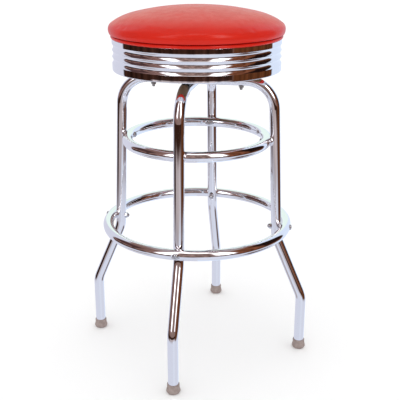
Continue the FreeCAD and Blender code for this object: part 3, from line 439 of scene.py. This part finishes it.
def material_for(slot):
    """The material of one of the record's slots, made the first time it is asked for."""
    finish = bpy.context.scene.stool_finish
    red = bpy.context.scene.stool_cushion.red
    # The maker of each, and its colour, roughness, depth of the waves and share of the haze
    makers = {
        "chrome_tube": (plated_metal, finish.chrome, 0.035, 0.05, 0.05),
        "chrome_trim": (plated_metal, finish.chrome, 0.03, 0.03, 0.04),
        "chrome_hardware": (plated_metal, (0.60, 0.60, 0.62), 0.15, 0.02, 0.10),
        "zinc_steel": (dull_plating, (0.42, 0.42, 0.41), 0.38),
        "staple_wire": (dull_plating, (0.50, 0.50, 0.49), 0.32),
        "bearing_steel": (plated_metal, (0.66, 0.66, 0.67), 0.12, 0.02, 0.2),
        "black_steel": (black_enamel,),
        "tip_rubber": (tip_rubber, finish.rubber),
        "seat_vinyl": (red_vinyl, red),
        "welt_vinyl": (red_vinyl, red),
        "foam": (seat_foam,),
        "plywood": (plywood_with_painted_shade,),
    }
    if slot not in MATERIALS:
        maker, *values = makers[slot]
        MATERIALS[slot] = maker(slot, *values)
    return MATERIALS[slot]


# Mesh helpers

def object_from(name, vertices, faces, smooth=True):
    """A mesh object in the scene, at the origin."""
    mesh = bpy.data.meshes.new(name)
    mesh.from_pydata([tuple(v) for v in vertices], [], [tuple(f) for f in faces])
    mesh.update()
    mesh.polygons.foreach_set("use_smooth", [smooth] * len(mesh.polygons))
    piece = bpy.data.objects.new(name, mesh)
    bpy.context.scene.collection.objects.link(piece)
    return piece


def revolve(name, profile, segments):
    """Turns a profile of (radius, height) points about the seat's axis.

    The profile runs from the inside bottom round by the outside to the top, so that faces
    point outwards. A point on the axis makes a pole.
    """
    vertices = []
    rings = []
    for radius, height in profile:
        if radius == 0:
            rings.append([len(vertices)] * segments)
            vertices.append((0, 0, height))
            continue
        rings.append(list(range(len(vertices), len(vertices) + segments)))
        for step in range(segments):
            angle = FULL_TURN * step / segments
            vertices.append((radius * math.cos(angle), radius * math.sin(angle), height))
    faces = []
    for low, high in zip(rings, rings[1:]):
        for step in range(segments):
            ahead = (step + 1) % segments
            corners = [low[step], low[ahead], high[ahead], high[step]]
            faces.append(tuple(dict.fromkeys(corners)))
    return object_from(name, vertices, [f for f in faces if len(f) > 2])


def arc_points(centre, radius, start, end, steps):
    """Points of an arc in degrees, from the level outward direction towards up."""
    points = []
    for step in range(steps + 1):
        angle = math.radians(start + (end - start) * step / steps)
        points.append((centre[0] + radius * math.cos(angle), centre[1] + radius * math.sin(angle)))
    return points


def line_points(start, end, steps):
    """Points between two others, without either."""
    return [
        (start[0] + (end[0] - start[0]) * k / steps, start[1] + (end[1] - start[1]) * k / steps)
        for k in range(1, steps)
    ]


def round_noise(angle, scale, layer):
    """Smooth noise that closes on itself round the seat."""
    return noise.noise(Vector((math.cos(angle) * scale, math.sin(angle) * scale, layer)))


def dress(piece, body, slot, *nodes):
    """Gives a finished piece its material and its body, and hides what it stands for."""
    piece.data.materials.clear()
    piece.data.materials.append(material_for(slot))
    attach(piece, body)
    if nodes:
        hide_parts(*nodes)
    return piece


# Cushion

def angle_of(offset):
    """The direction of an offset in degrees, from level outwards towards up."""
    return math.degrees(math.atan2(offset.y, offset.x))


def cushion_profile(settings, inset, fineness):
    """The outline of the cushion from its crease up to the middle of the crown.

    Four arcs run into each other: the drawn-in side, the shoulder, the edge and the crown. The
    edge's centre follows from the other two centres and the radii.
    """
    top = COVER_HIGH.z - inset
    wide = (COVER_HIGH.x - COVER_LOW.x) / 2 - inset
    crown = settings.crown - inset
    edge = settings.edge - inset
    shoulder = settings.shoulder - inset
    under = settings.under - inset
    level = settings.widest_height
    crown_centre = Vector((0, top - crown))
    shoulder_centre = Vector((wide - shoulder, level))
    gap = shoulder_centre - crown_centre
    reach_crown = crown - edge
    reach_shoulder = edge - shoulder
    share = (reach_crown ** 2 - reach_shoulder ** 2 + gap.length_squared) / (2 * gap.length)
    height = math.sqrt(reach_crown ** 2 - share ** 2)
    ahead = gap.normalized()
    aside = Vector((-ahead.y, ahead.x))
    choices = [crown_centre + ahead * share + aside * height * sign for sign in (1, -1)]
    edge_centre = min(choices, key=lambda point: abs(point.x))
    crown_angle = angle_of(edge_centre - crown_centre)
    shoulder_angle = angle_of(shoulder_centre - edge_centre)
    crease_angle = -math.degrees(math.asin((level - settings.crease_height - inset) / under))
    points = []
    for centre, radius, start, end, steps in (
        ((wide - under, level), under, crease_angle, 0, 6),
        (shoulder_centre, shoulder, 0, shoulder_angle, 6),
        (edge_centre, edge, shoulder_angle, crown_angle, 12),
        (crown_centre, crown, crown_angle, 90, 26),
    ):
        arc = arc_points(centre, radius, start, end, round(steps * fineness))
        points += arc[1:] if points else arc
    return points[:-1] + [(0.0, top)]


def swell(piece, settings):
    """Lets the foam push the cover out by a short cloth simulation, held at the crease."""
    mesh = piece.data
    rest = np.empty(len(mesh.vertices) * 3)
    mesh.vertices.foreach_get("co", rest)
    rest = rest.reshape(-1, 3)
    pins = piece.vertex_groups.new(name="crease")
    held = np.flatnonzero(rest[:, 2] < settings.crease_height + HELD_ABOVE_CREASE)
    pins.add([int(i) for i in held], 1.0, "REPLACE")
    cloth = piece.modifiers.new("cover", "CLOTH")
    for name, value in COVER_CLOTH.items():
        setattr(cloth.settings, name, value)
    cloth.settings.uniform_pressure_force = settings.pressure
    cloth.settings.effector_weights.gravity = 0
    cloth.collision_settings.use_collision = False
    cloth.point_cache.frame_start = 1
    cloth.point_cache.frame_end = CLOTH_FRAMES
    scene = bpy.context.scene
    for step in range(1, CLOTH_FRAMES + 1):
        scene.frame_set(step)
    graph = bpy.context.evaluated_depsgraph_get()
    swollen = piece.evaluated_get(graph).to_mesh()
    found = np.empty(len(swollen.vertices) * 3)
    swollen.vertices.foreach_get("co", found)
    found = found.reshape(-1, 3)
    move = found - rest
    length = np.linalg.norm(move, axis=1, keepdims=True)
    found = rest + move * np.minimum(1, SWELL_LIMIT / np.maximum(length, 1e-9))
    piece.modifiers.remove(cloth)
    scene.frame_set(1)
    mesh.vertices.foreach_set("co", found.ravel())
    mesh.update()


def gather(piece, settings):
    """Draws small uneven gathers into the cover just above the crease."""
    base = settings.crease_height - GATHER_START
    for vertex in piece.data.vertices:
        radius = math.hypot(vertex.co.x, vertex.co.y)
        above = vertex.co.z - base
        if radius < GATHER_OUTSIDE or above < 0 or above > GATHER_REACH:
            continue
        angle = math.atan2(vertex.co.y, vertex.co.x)
        wander = round_noise(angle, *WANDER_NOISE) * GATHER_WANDER
        wave = math.sin(angle * settings.puckers + wander)
        strength = 0.5 + 0.5 * round_noise(angle, *STRENGTH_NOISE)
        fade = (1 - above / GATHER_REACH) ** 2
        scale = 1 + settings.pucker_depth * wave * strength * fade / radius
        vertex.co.x *= scale
        vertex.co.y *= scale


def close_below(profile):
    """Adds the welt ledge, the wall in the band and the hem under the board to a profile."""
    crease = profile[0]
    wall = COVER_WALL_RADIUS
    bottom = COVER_LOW.z
    inside = wall - HEM_THICKNESS
    ledge = (wall, crease[1] - LEDGE_SLOPE)
    wall_low = (wall, bottom + HEM_CORNER)
    below = [
        (inside, FOAM_LOW.z),
        (inside, bottom + HEM_CORNER),
        (wall - HEM_CORNER, bottom + HEM_THICKNESS),
        (HEM_RADIUS, bottom + HEM_THICKNESS),
        (HEM_RADIUS, bottom),
        (wall - HEM_CORNER, bottom),
        wall_low,
    ]
    below += line_points(wall_low, ledge, 6)
    below += [ledge]
    below += line_points(ledge, crease, 3)
    return below + profile


class STOOL_OT_make_cushion(bpy.types.Operator):
    """Makes the red cover, swollen by its foam, gathered at the crease and hemmed below"""
    bl_idname = "stool.make_cushion"
    bl_label = "Cushion"

    def execute(self, context):
        settings = context.scene.stool_cushion
        profile = close_below(cushion_profile(settings, COVER_INSET, COVER_STEPS))
        piece = revolve("cushion", profile, COVER_SEGMENTS)
        swell(piece, settings)
        gather(piece, settings)
        smooth = piece.modifiers.new("smooth", "SUBSURF")
        smooth.levels = 1
        smooth.render_levels = 1
        dress(piece, "seat", "seat_vinyl", "seat_cover")
        return {"FINISHED"}


class STOOL_OT_make_foam(bpy.types.Operator):
    """Makes the foam pad inside the cover"""
    bl_idname = "stool.make_foam"
    bl_label = "Foam pad"

    def execute(self, context):
        profile = cushion_profile(context.scene.stool_cushion, FOAM_INSET, FOAM_STEPS)
        wall = FOAM_WALL_RADIUS
        base = FOAM_LOW.z
        below = [
            (0.0, base),
            (wall / 2, base),
            (wall - FOAM_CORNER, base),
            (wall, base + FOAM_CORNER),
            (wall, profile[0][1] - FOAM_LEDGE_SLOPE),
        ]
        piece = revolve("foam", below + profile, FOAM_SEGMENTS)
        dress(piece, "seat", "foam", "foam_pad")
        return {"FINISHED"}


class STOOL_OT_make_welt(bpy.types.Operator):
    """Makes the piped welt with the small gathers of its sewn cover"""
    bl_idname = "stool.make_welt"
    bl_label = "Welt"

    def execute(self, context):
        thickness = (WELT_HIGH.z - WELT_LOW.z) / 2
        middle = (WELT_HIGH.x - WELT_LOW.x) / 2 - thickness
        height = (WELT_HIGH.z + WELT_LOW.z) / 2
        vertices = []
        for step in range(WELT_SEGMENTS):
            angle = FULL_TURN * step / WELT_SEGMENTS
            ripple = round_noise(angle, *RIPPLE_NOISE)
            for turn in range(WELT_SIDES):
                slope = FULL_TURN * turn / WELT_SIDES
                swelling = thickness * (1 + WELT_RIPPLE * ripple * math.cos(slope))
                reach = middle + swelling * math.cos(slope)
                vertices.append((reach * math.cos(angle), reach * math.sin(angle),
                                 height + swelling * math.sin(slope)))
        faces = []
        for step in range(WELT_SEGMENTS):
            here = step * WELT_SIDES
            after = (step + 1) % WELT_SEGMENTS * WELT_SIDES
            for turn in range(WELT_SIDES):
                over = (turn + 1) % WELT_SIDES
                faces.append((here + turn, after + turn, after + over, here + over))
        piece = object_from("welt", vertices, faces)
        dress(piece, "seat", "welt_vinyl", "seat_welt")
        return {"FINISHED"}


# Band

def rounded(corner, before, after, radius, steps=5):
    """Points that round off a corner between two neighbouring points of an outline."""
    corner, before, after = (Vector(point) for point in (corner, before, after))
    back = (before - corner).normalized()
    ahead = (after - corner).normalized()
    half = back.angle(ahead) / 2
    reach = radius / math.tan(half)
    points = []
    for step in range(steps + 1):
        share = step / steps
        point = corner + back * reach * (1 - share) ** 2 + ahead * reach * share ** 2
        points.append(tuple(point))
    return points


def band_profile(settings):
    """The outline of the band's outer side, from the flange's inner edge up to its top edge.

    The points near the top edge keep the smooth shading of the plain strip flat up to there.
    """
    radius = settings.radius
    bottom = BAND_LOW.z
    corner = settings.corner
    flute_top = BAND_HIGH.z - settings.top_flat
    flute_bottom = flute_top - settings.pitch * settings.flutes
    half = settings.pitch / 2
    bow = (half * half + settings.depth ** 2) / (2 * settings.depth)
    spread = math.degrees(math.asin(half / bow))
    points = [(settings.flange_radius, bottom)]
    points += line_points(points[0], (radius - corner, bottom), 4)
    points += arc_points((radius - corner, bottom + corner), corner, -90, 0, 6)
    points += line_points(points[-1], (radius, flute_bottom), 4)
    for flute in range(settings.flutes):
        middle = flute_bottom + settings.pitch * (flute + 0.5)
        centre = (radius - settings.depth + bow, middle)
        hollow = arc_points(centre, bow, 180 + spread, 180 - spread, FLUTE_STEPS)
        if flute == 0:
            points += rounded(hollow[0], points[-1], hollow[1], settings.crest)
        points += hollow[1:-1]
        above = (radius, BAND_HIGH.z)
        if flute < settings.flutes - 1:
            above = (hollow[1][0], 2 * hollow[-1][1] - hollow[-2][1])
        points += rounded(hollow[-1], hollow[-2], above, settings.crest * UPPER_CREST)
    near_edge = (radius, BAND_HIGH.z - settings.sheet / 4)
    points += line_points(points[-1], near_edge, 4)
    return points + [near_edge, (radius, BAND_HIGH.z)]


class STOOL_OT_make_band(bpy.types.Operator):
    """Makes the fluted chrome band from its rolled outline"""
    bl_idname = "stool.make_band"
    bl_label = "Band"

    def execute(self, context):
        settings = context.scene.stool_band
        piece = revolve("band", band_profile(settings), settings.segments)
        wall = piece.modifiers.new("sheet", "SOLIDIFY")
        wall.thickness = settings.sheet
        wall.offset = -1
        dress(piece, "seat", "chrome_trim", "chrome_band")
        return {"FINISHED"}


# Repeated hardware by Geometry Nodes

# How far a piece strays from its circle, in metres for each radian that it is turned

SCATTER_REACH = 0.01
SCATTER_SEED = 7

# Parts of a screw as shares of its head or shank

SCREW_CROWN = 0.62
SCREW_POINT = 0.3

# Sides of the round pieces, and steps along a screw's shank

WIRE_SIDES = 6
HEAD_SIDES = 20
SHANK_SIDES = 12
SHANK_STEPS = 6


def round_pattern(name, socket_sizes, build):
    """A node group that sets a piece out round the seat's axis and gives it a material.

    build gets the tree, the group's inputs by name, and returns the geometry of one piece that
    stands at the origin with its outward side along +X. The group has the inputs Count, Circle,
    Height, Scatter and Material besides the sizes in socket_sizes.
    """
    tree = bpy.data.node_groups.new(name, "GeometryNodeTree")
    tree.interface.new_socket("Geometry", in_out="INPUT", socket_type="NodeSocketGeometry")
    tree.interface.new_socket("Count", in_out="INPUT", socket_type="NodeSocketInt")
    for label in ("Circle", "Height", "Scatter", *socket_sizes):
        tree.interface.new_socket(label, in_out="INPUT", socket_type="NodeSocketFloat")
    tree.interface.new_socket("Material", in_out="INPUT", socket_type="NodeSocketMaterial")
    tree.interface.new_socket("Geometry", in_out="OUTPUT", socket_type="NodeSocketGeometry")
    inputs = add(tree, "NodeGroupInput").outputs
    piece = build(tree, inputs)
    spots = add(tree, "GeometryNodePoints", {"Count": inputs["Count"]}).outputs[0]
    index = add(tree, "GeometryNodeInputIndex").outputs[0]
    turns = math_node(tree, "MULTIPLY", index, FULL_TURN)
    turn = math_node(tree, "DIVIDE", turns, inputs["Count"])
    stray = add(tree, "FunctionNodeRandomValue",
                {2: -1.0, 3: 1.0, "Seed": SCATTER_SEED}, data_type="FLOAT")
    wander = math_node(tree, "MULTIPLY", stray.outputs[1], inputs["Scatter"])
    sideways = math_node(tree, "MULTIPLY", wander, SCATTER_REACH)
    reach = math_node(tree, "ADD", inputs["Circle"], sideways)
    place = add(tree, "ShaderNodeCombineXYZ", {
        "X": math_node(tree, "MULTIPLY", reach, math_node(tree, "COSINE", turn)),
        "Y": math_node(tree, "MULTIPLY", reach, math_node(tree, "SINE", turn)),
        "Z": inputs["Height"],
    }).outputs[0]
    placed = add(tree, "GeometryNodeSetPosition", {"Geometry": spots, "Position": place}).outputs[0]
    facing = add(tree, "ShaderNodeCombineXYZ", {
        "Z": math_node(tree, "ADD", turn, wander)}).outputs[0]
    copies = add(tree, "GeometryNodeInstanceOnPoints", {
        "Points": placed, "Instance": piece, "Rotation": facing}).outputs[0]
    real = add(tree, "GeometryNodeRealizeInstances", {"Geometry": copies}).outputs[0]
    painted = add(tree, "GeometryNodeSetMaterial",
                  {"Geometry": real, "Material": inputs["Material"]})
    add(tree, "NodeGroupOutput", {"Geometry": painted.outputs[0]})
    return tree


def made_by(tree, name, slot, values):
    """Runs a node group with its inputs set, and returns the result as a plain mesh object."""
    holder = object_from(name + "_nodes", [(0, 0, 0)], [])
    modifier = holder.modifiers.new(name, "NODES")
    modifier.node_group = tree
    values = dict(values, Material=material_for(slot))
    for item in tree.interface.items_tree:
        if item.in_out == "INPUT" and item.name in values:
            modifier[item.identifier] = values[item.name]
    bpy.context.view_layer.update()
    graph = bpy.context.evaluated_depsgraph_get()
    mesh = bpy.data.meshes.new_from_object(holder.evaluated_get(graph))
    bpy.data.objects.remove(holder)
    mesh.name = name
    piece = bpy.data.objects.new(name, mesh)
    bpy.context.scene.collection.objects.link(piece)
    return piece


def staple_shape(tree, inputs):
    """One staple: a flattened wire crown along Y with its two legs going up."""
    half = math_node(tree, "MULTIPLY", inputs["Width"], 0.5)
    under = math_node(tree, "MULTIPLY", half, -1.0)
    corners = [(half, inputs["Leg"]), (half, 0.0), (under, 0.0), (under, inputs["Leg"])]
    runs = []
    for (y_start, z_start), (y_end, z_end) in zip(corners, corners[1:]):
        start = add(tree, "ShaderNodeCombineXYZ", {"Y": y_start, "Z": z_start}).outputs[0]
        end = add(tree, "ShaderNodeCombineXYZ", {"Y": y_end, "Z": z_end}).outputs[0]
        line = add(tree, "GeometryNodeCurvePrimitiveLine", {"Start": start, "End": end})
        runs.append(line.outputs[0])
    joined = add(tree, "GeometryNodeJoinGeometry")
    for run in reversed(runs):
        tree.links.new(run, joined.inputs[0])
    ring = add(tree, "GeometryNodeCurvePrimitiveCircle", {
        "Resolution": WIRE_SIDES,
        "Radius": math_node(tree, "MULTIPLY", inputs["Wire"], 0.5),
    }).outputs[0]
    return add(tree, "GeometryNodeCurveToMesh", {
        "Curve": joined.outputs[0], "Profile Curve": ring, "Fill Caps": True}).outputs[0]


def pan_screw_shape(tree, inputs):
    """One screw under the board: a tapered head that hangs down and a shank that goes up."""
    head = add(tree, "GeometryNodeMeshCone", {
        "Vertices": HEAD_SIDES,
        "Side Segments": 1,
        "Fill Segments": 1,
        "Radius Top": inputs["Head"],
        "Radius Bottom": math_node(tree, "MULTIPLY", inputs["Head"], SCREW_CROWN),
        "Depth": inputs["Rise"],
    }).outputs[0]
    drop = add(tree, "ShaderNodeCombineXYZ", {
        "Z": math_node(tree, "MULTIPLY", inputs["Rise"], -1.0)}).outputs[0]
    lowered = add(tree, "GeometryNodeTransform",
                  {"Geometry": head, "Translation": drop}).outputs[0]
    shank = add(tree, "GeometryNodeMeshCone", {
        "Vertices": SHANK_SIDES,
        "Side Segments": SHANK_STEPS,
        "Radius Top": math_node(tree, "MULTIPLY", inputs["Shank"], SCREW_POINT),
        "Radius Bottom": inputs["Shank"],
        "Depth": inputs["Leg"],
    }).outputs[0]
    joined = add(tree, "GeometryNodeJoinGeometry")
    tree.links.new(lowered, joined.inputs[0])
    tree.links.new(shank, joined.inputs[0])
    return joined.outputs[0]


class STOOL_OT_set_staples(bpy.types.Operator):
    """Drives a round of staples through the hem into the board"""
    bl_idname = "stool.set_staples"
    bl_label = "Staples"

    def execute(self, context):
        settings = context.scene.stool_hardware
        wire = settings.staple_wire
        tree = round_pattern("staple_round", ("Width", "Leg", "Wire"), staple_shape)
        piece = made_by(tree, "staples", "staple_wire", {
            "Count": settings.staples,
            "Circle": STAPLES_HIGH.x - wire / 2,
            "Height": STAPLES_LOW.z + wire / 2,
            "Scatter": settings.staple_scatter,
            "Width": settings.staple_width,
            "Leg": settings.staple_leg,
            "Wire": wire,
        })
        dress(piece, "seat", "staple_wire", "hem_staples")
        return {"FINISHED"}


class STOOL_OT_set_band_screws(bpy.types.Operator):
    """Sets the screws that hold the band's flange to the board"""
    bl_idname = "stool.set_band_screws"
    bl_label = "Band screws"

    def execute(self, context):
        settings = context.scene.stool_hardware
        tree = round_pattern("band_screw_round", ("Head", "Rise", "Shank", "Leg"), pan_screw_shape)
        piece = made_by(tree, "band_screws", "zinc_steel", {
            "Count": settings.screws,
            "Circle": FLANGE_SCREWS_HIGH.x - settings.screw_head,
            "Height": FLANGE_SCREWS_LOW.z + settings.screw_rise,
            "Scatter": 0.0,
            "Head": settings.screw_head,
            "Rise": settings.screw_rise,
            "Shank": settings.screw_shank,
            "Leg": settings.screw_leg,
        })
        dress(piece, "seat", "zinc_steel", "band_flange_screws")
        return {"FINISHED"}


# Finishes of the frame's own nodes

class STOOL_OT_finish_frame(bpy.types.Operator):
    """Gives every piece of the frame the material of its slot"""
    bl_idname = "stool.finish_frame"
    bl_label = "Frame finishes"

    def execute(self, context):
        for part in frame["record"]["subparts"]:
            node = frame["nodes"][part["node"]]
            for slot in node.material_slots:
                slot.material = material_for(part["material_slot"])
        return {"FINISHED"}


# Stage

# What the polished metal sees round the stool. Each panel has its lowest and highest azimuth,
# from the camera's side towards the right, its lowest and highest elevation and the softness
# of its edges, all in degrees, and its brightness by colour. A later panel covers an earlier
# one.
STUDIO_PANELS = (
    ("ceiling", -180, 180, 58, 90, 14, (0.38, 0.31, 0.31)),
    ("left wall", -116, -48, -6, 60, 8, (0.23, 0.13, 0.115)),
    ("left shade", -116, -74, 8, 40, 12, (0.07, 0.035, 0.035)),
    ("right wall", 46, 122, -6, 60, 5, (0.18, 0.062, 0.032)),
    ("right shade", 84, 121, -4, 52, 6, (0.016, 0.006, 0.005)),
    ("paper floor", -180, 180, -90, -18.5, 12, (0.72, 0.75, 0.87)),
    ("paper floor ahead", 2, 42, -90, -15, 10, (0.76, 0.80, 0.92)),
    ("paper edge right", 72, 121, -58, -36, 6, (0.15, 0.10, 0.10)),
    ("paper edge left", -112, -66, -52, -36, 6, (0.42, 0.38, 0.40)),
    ("near floor ahead", -66, 24, -17, -11.5, 3, (0.52, 0.45, 0.46)),
    ("far floor left", -117, -62, -18, -4, 6, (0.036, 0.014, 0.009)),
    ("far floor ahead", -70, 48, -11.5, -4, 2, (0.036, 0.014, 0.009)),
    ("far floor right", 48, 121, -20, -4, 6, (0.105, 0.034, 0.013)),
    ("left screen", -180, -115, -90, 46, 4, (0.72, 0.73, 0.85)),
    ("right screen", 120, 180, -90, 52, 3, (0.78, 0.88, 1.06)),
    ("left back light", -180, -156, 4, 60, 8, (0.90, 1.04, 0.98)),
    ("right back light", 156, 180, 4, 60, 8, (0.90, 1.04, 0.98)),
    ("overhead light", -58, 34, 66, 84, 10, (2.6, 2.5, 2.5)),
    ("left strip light", -47, -31, 12, 58, 14, (3.4, 3.4, 3.6)),
    ("right strip light", 25, 44, 12, 58, 14, (4.4, 4.4, 4.5)),
)
ROOM_TONE = (0.26, 0.17, 0.15)

# Upright folds that darken and brighten the room's walls: where they are, the softness of
# that part's edges, their fineness across and up, and the darkest and brightest
FOLDS_BOUNDS = (-116, 121, -16, 60)
FOLDS_SOFTNESS = 6
FOLDS_ACROSS = 0.16
FOLDS_UP = 0.02
FOLDS_DARK = 0.35
FOLDS_BRIGHT = 1.65

SOFT_LIGHT = 1.13
FLOOR_RADIUS = 30.0
FLOOR_TONE = 0.96
SENSOR_WIDTH = 36


def panel_mask(tree, azimuth, elevation, bounds, softness):
    """One inside a panel's bounds and nothing outside, with soft edges.

    A bound at the end of its range, straight behind, above or below, has no edge.
    """
    low_azimuth, high_azimuth, low_elevation, high_elevation = bounds
    result = None
    for value, edge, limit, outside, inside in (
        (azimuth, low_azimuth, 180, 0.0, 1.0),
        (azimuth, high_azimuth, 180, 1.0, 0.0),
        (elevation, low_elevation, 90, 0.0, 1.0),
        (elevation, high_elevation, 90, 1.0, 0.0),
    ):
        if abs(edge) >= limit:
            continue
        mask = add(tree, "ShaderNodeMapRange", {
            "Value": value, "From Min": edge - softness / 2, "From Max": edge + softness / 2,
            "To Min": outside, "To Max": inside,
        }, interpolation_type="SMOOTHSTEP").outputs[0]
        result = mask if result is None else math_node(tree, "MULTIPLY", result, mask)
    return result


def studio_world(settings):
    """Plain soft light, and for reflections the screens, lamps and walls round the stool."""
    world = bpy.data.worlds.new("studio")
    world.use_nodes = True
    tree = world.node_tree
    tree.nodes.clear()
    direction = add(tree, "ShaderNodeTexCoord").outputs["Generated"]
    turned = add(tree, "ShaderNodeVectorRotate", {
        "Vector": direction, "Axis": (0, 0, 1), "Angle": -settings.azimuth,
    }, rotation_type="AXIS_ANGLE").outputs[0]
    axes = add(tree, "ShaderNodeSeparateXYZ", {0: turned}).outputs
    nearness = math_node(tree, "MULTIPLY", axes["Y"], -1.0)
    azimuth = math_node(tree, "DEGREES", math_node(tree, "ARCTAN2", axes["X"], nearness))
    elevation = math_node(tree, "DEGREES", math_node(tree, "ARCSINE", axes["Z"]))
    colour = add(tree, "ShaderNodeRGB").outputs[0]
    colour.default_value = (*ROOM_TONE, 1)
    for name, *bounds, softness, tone in STUDIO_PANELS:
        mask = panel_mask(tree, azimuth, elevation, bounds, softness)
        mix = add(tree, "ShaderNodeMix", {0: mask}, data_type="RGBA", label=name)
        tree.links.new(colour, mix.inputs["A"])
        mix.inputs["B"].default_value = (*tone, 1)
        colour = mix.outputs["Result"]
    across = add(tree, "ShaderNodeCombineXYZ", {
        "X": math_node(tree, "MULTIPLY", azimuth, FOLDS_ACROSS),
        "Y": math_node(tree, "MULTIPLY", elevation, FOLDS_UP),
    }).outputs[0]
    folds = add(tree, "ShaderNodeTexNoise",
                {"Vector": across, "Scale": 1.0, "Detail": 3.0}).outputs[0]
    folded = add(tree, "ShaderNodeMix", {
        0: 1.0, "A": colour, "B": remap(tree, folds, FOLDS_DARK, FOLDS_BRIGHT),
    }, data_type="RGBA", blend_type="MULTIPLY").outputs["Result"]
    colour = add(tree, "ShaderNodeMix", {
        0: panel_mask(tree, azimuth, elevation, FOLDS_BOUNDS, FOLDS_SOFTNESS),
        "A": colour,
        "B": folded,
    }, data_type="RGBA").outputs["Result"]
    mirrored = add(tree, "ShaderNodeLightPath").outputs["Is Glossy Ray"]
    plain = add(tree, "ShaderNodeBackground", {"Color": (1, 1, 1, 1), "Strength": SOFT_LIGHT})
    seen = add(tree, "ShaderNodeBackground", {"Color": colour, "Strength": 1.0})
    both = add(tree, "ShaderNodeMixShader", {0: mirrored, 1: plain.outputs[0], 2: seen.outputs[0]})
    add(tree, "ShaderNodeOutputWorld", {"Surface": both.outputs[0]})
    return world


def disc(name, radius, segments=96):
    """A flat round floor at height zero, facing up."""
    angles = [FULL_TURN * step / segments for step in range(segments)]
    points = [(radius * math.cos(angle), radius * math.sin(angle), 0.0) for angle in angles]
    return object_from(name, points, [range(segments)], smooth=False)


class STOOL_OT_set_stage(bpy.types.Operator):
    """Sets the floor, the soft light and the camera"""
    bl_idname = "stool.set_stage"
    bl_label = "Stage"

    def execute(self, context):
        settings = context.scene.stool_stage
        scene = context.scene
        floor = disc("floor", FLOOR_RADIUS)
        floor.data.materials.append(pale_paper("floor_paper", FLOOR_TONE))
        floor.visible_glossy = False
        scene.world = studio_world(settings)
        camera_data = bpy.data.cameras.new("camera")
        camera_data.lens = settings.lens
        camera_data.sensor_width = SENSOR_WIDTH
        camera = bpy.data.objects.new("camera", camera_data)
        scene.collection.objects.link(camera)
        towards = Vector((math.sin(settings.azimuth), -math.cos(settings.azimuth), 0))
        right = Vector((math.cos(settings.azimuth), math.sin(settings.azimuth), 0))
        look = -towards * math.cos(settings.pitch) - Vector((0, 0, math.sin(settings.pitch)))
        camera.location = towards * settings.distance + right * settings.offset
        camera.location.z = settings.height
        camera.rotation_euler = look.to_track_quat("-Z", "Y").to_euler()
        scene.camera = camera
        scene.view_settings.view_transform = "Standard"
        return {"FINISHED"}


OPERATORS = (
    STOOL_OT_finish_frame,
    STOOL_OT_make_foam,
    STOOL_OT_make_cushion,
    STOOL_OT_make_welt,
    STOOL_OT_make_band,
    STOOL_OT_set_staples,
    STOOL_OT_set_band_screws,
    STOOL_OT_set_stage,
)
SETTINGS = (
    ("stool_cushion", StoolCushionSettings),
    ("stool_band", StoolBandSettings),
    ("stool_hardware", StoolHardwareSettings),
    ("stool_finish", StoolFinishSettings),
    ("stool_stage", StoolStageSettings),
)


class STOOL_PT_panel(bpy.types.Panel):
    """Lists the settings and the steps of the stool"""
    bl_idname = "STOOL_PT_panel"
    bl_label = "Counter stool"
    bl_space_type = "VIEW_3D"
    bl_region_type = "UI"
    bl_category = "Stool"

    def draw(self, context):
        for attribute, group in SETTINGS:
            box = self.layout.box()
            for name in group.__annotations__:
                box.prop(getattr(context.scene, attribute), name)
        for operator in OPERATORS:
            self.layout.operator(operator.bl_idname)


def register():
    for attribute, group in SETTINGS:
        bpy.utils.register_class(group)
        setattr(bpy.types.Scene, attribute, PointerProperty(type=group))
    for operator in OPERATORS:
        bpy.utils.register_class(operator)
    bpy.utils.register_class(STOOL_PT_panel)


def unregister():
    bpy.utils.unregister_class(STOOL_PT_panel)
    for operator in reversed(OPERATORS):
        bpy.utils.unregister_class(operator)
    for attribute, group in reversed(SETTINGS):
        delattr(bpy.types.Scene, attribute)
        bpy.utils.unregister_class(group)


def main():
    register()
    for operator in OPERATORS:
        group, name = operator.bl_idname.split(".")
        getattr(getattr(bpy.ops, group), name)()


if __name__ == "__main__":
    main()
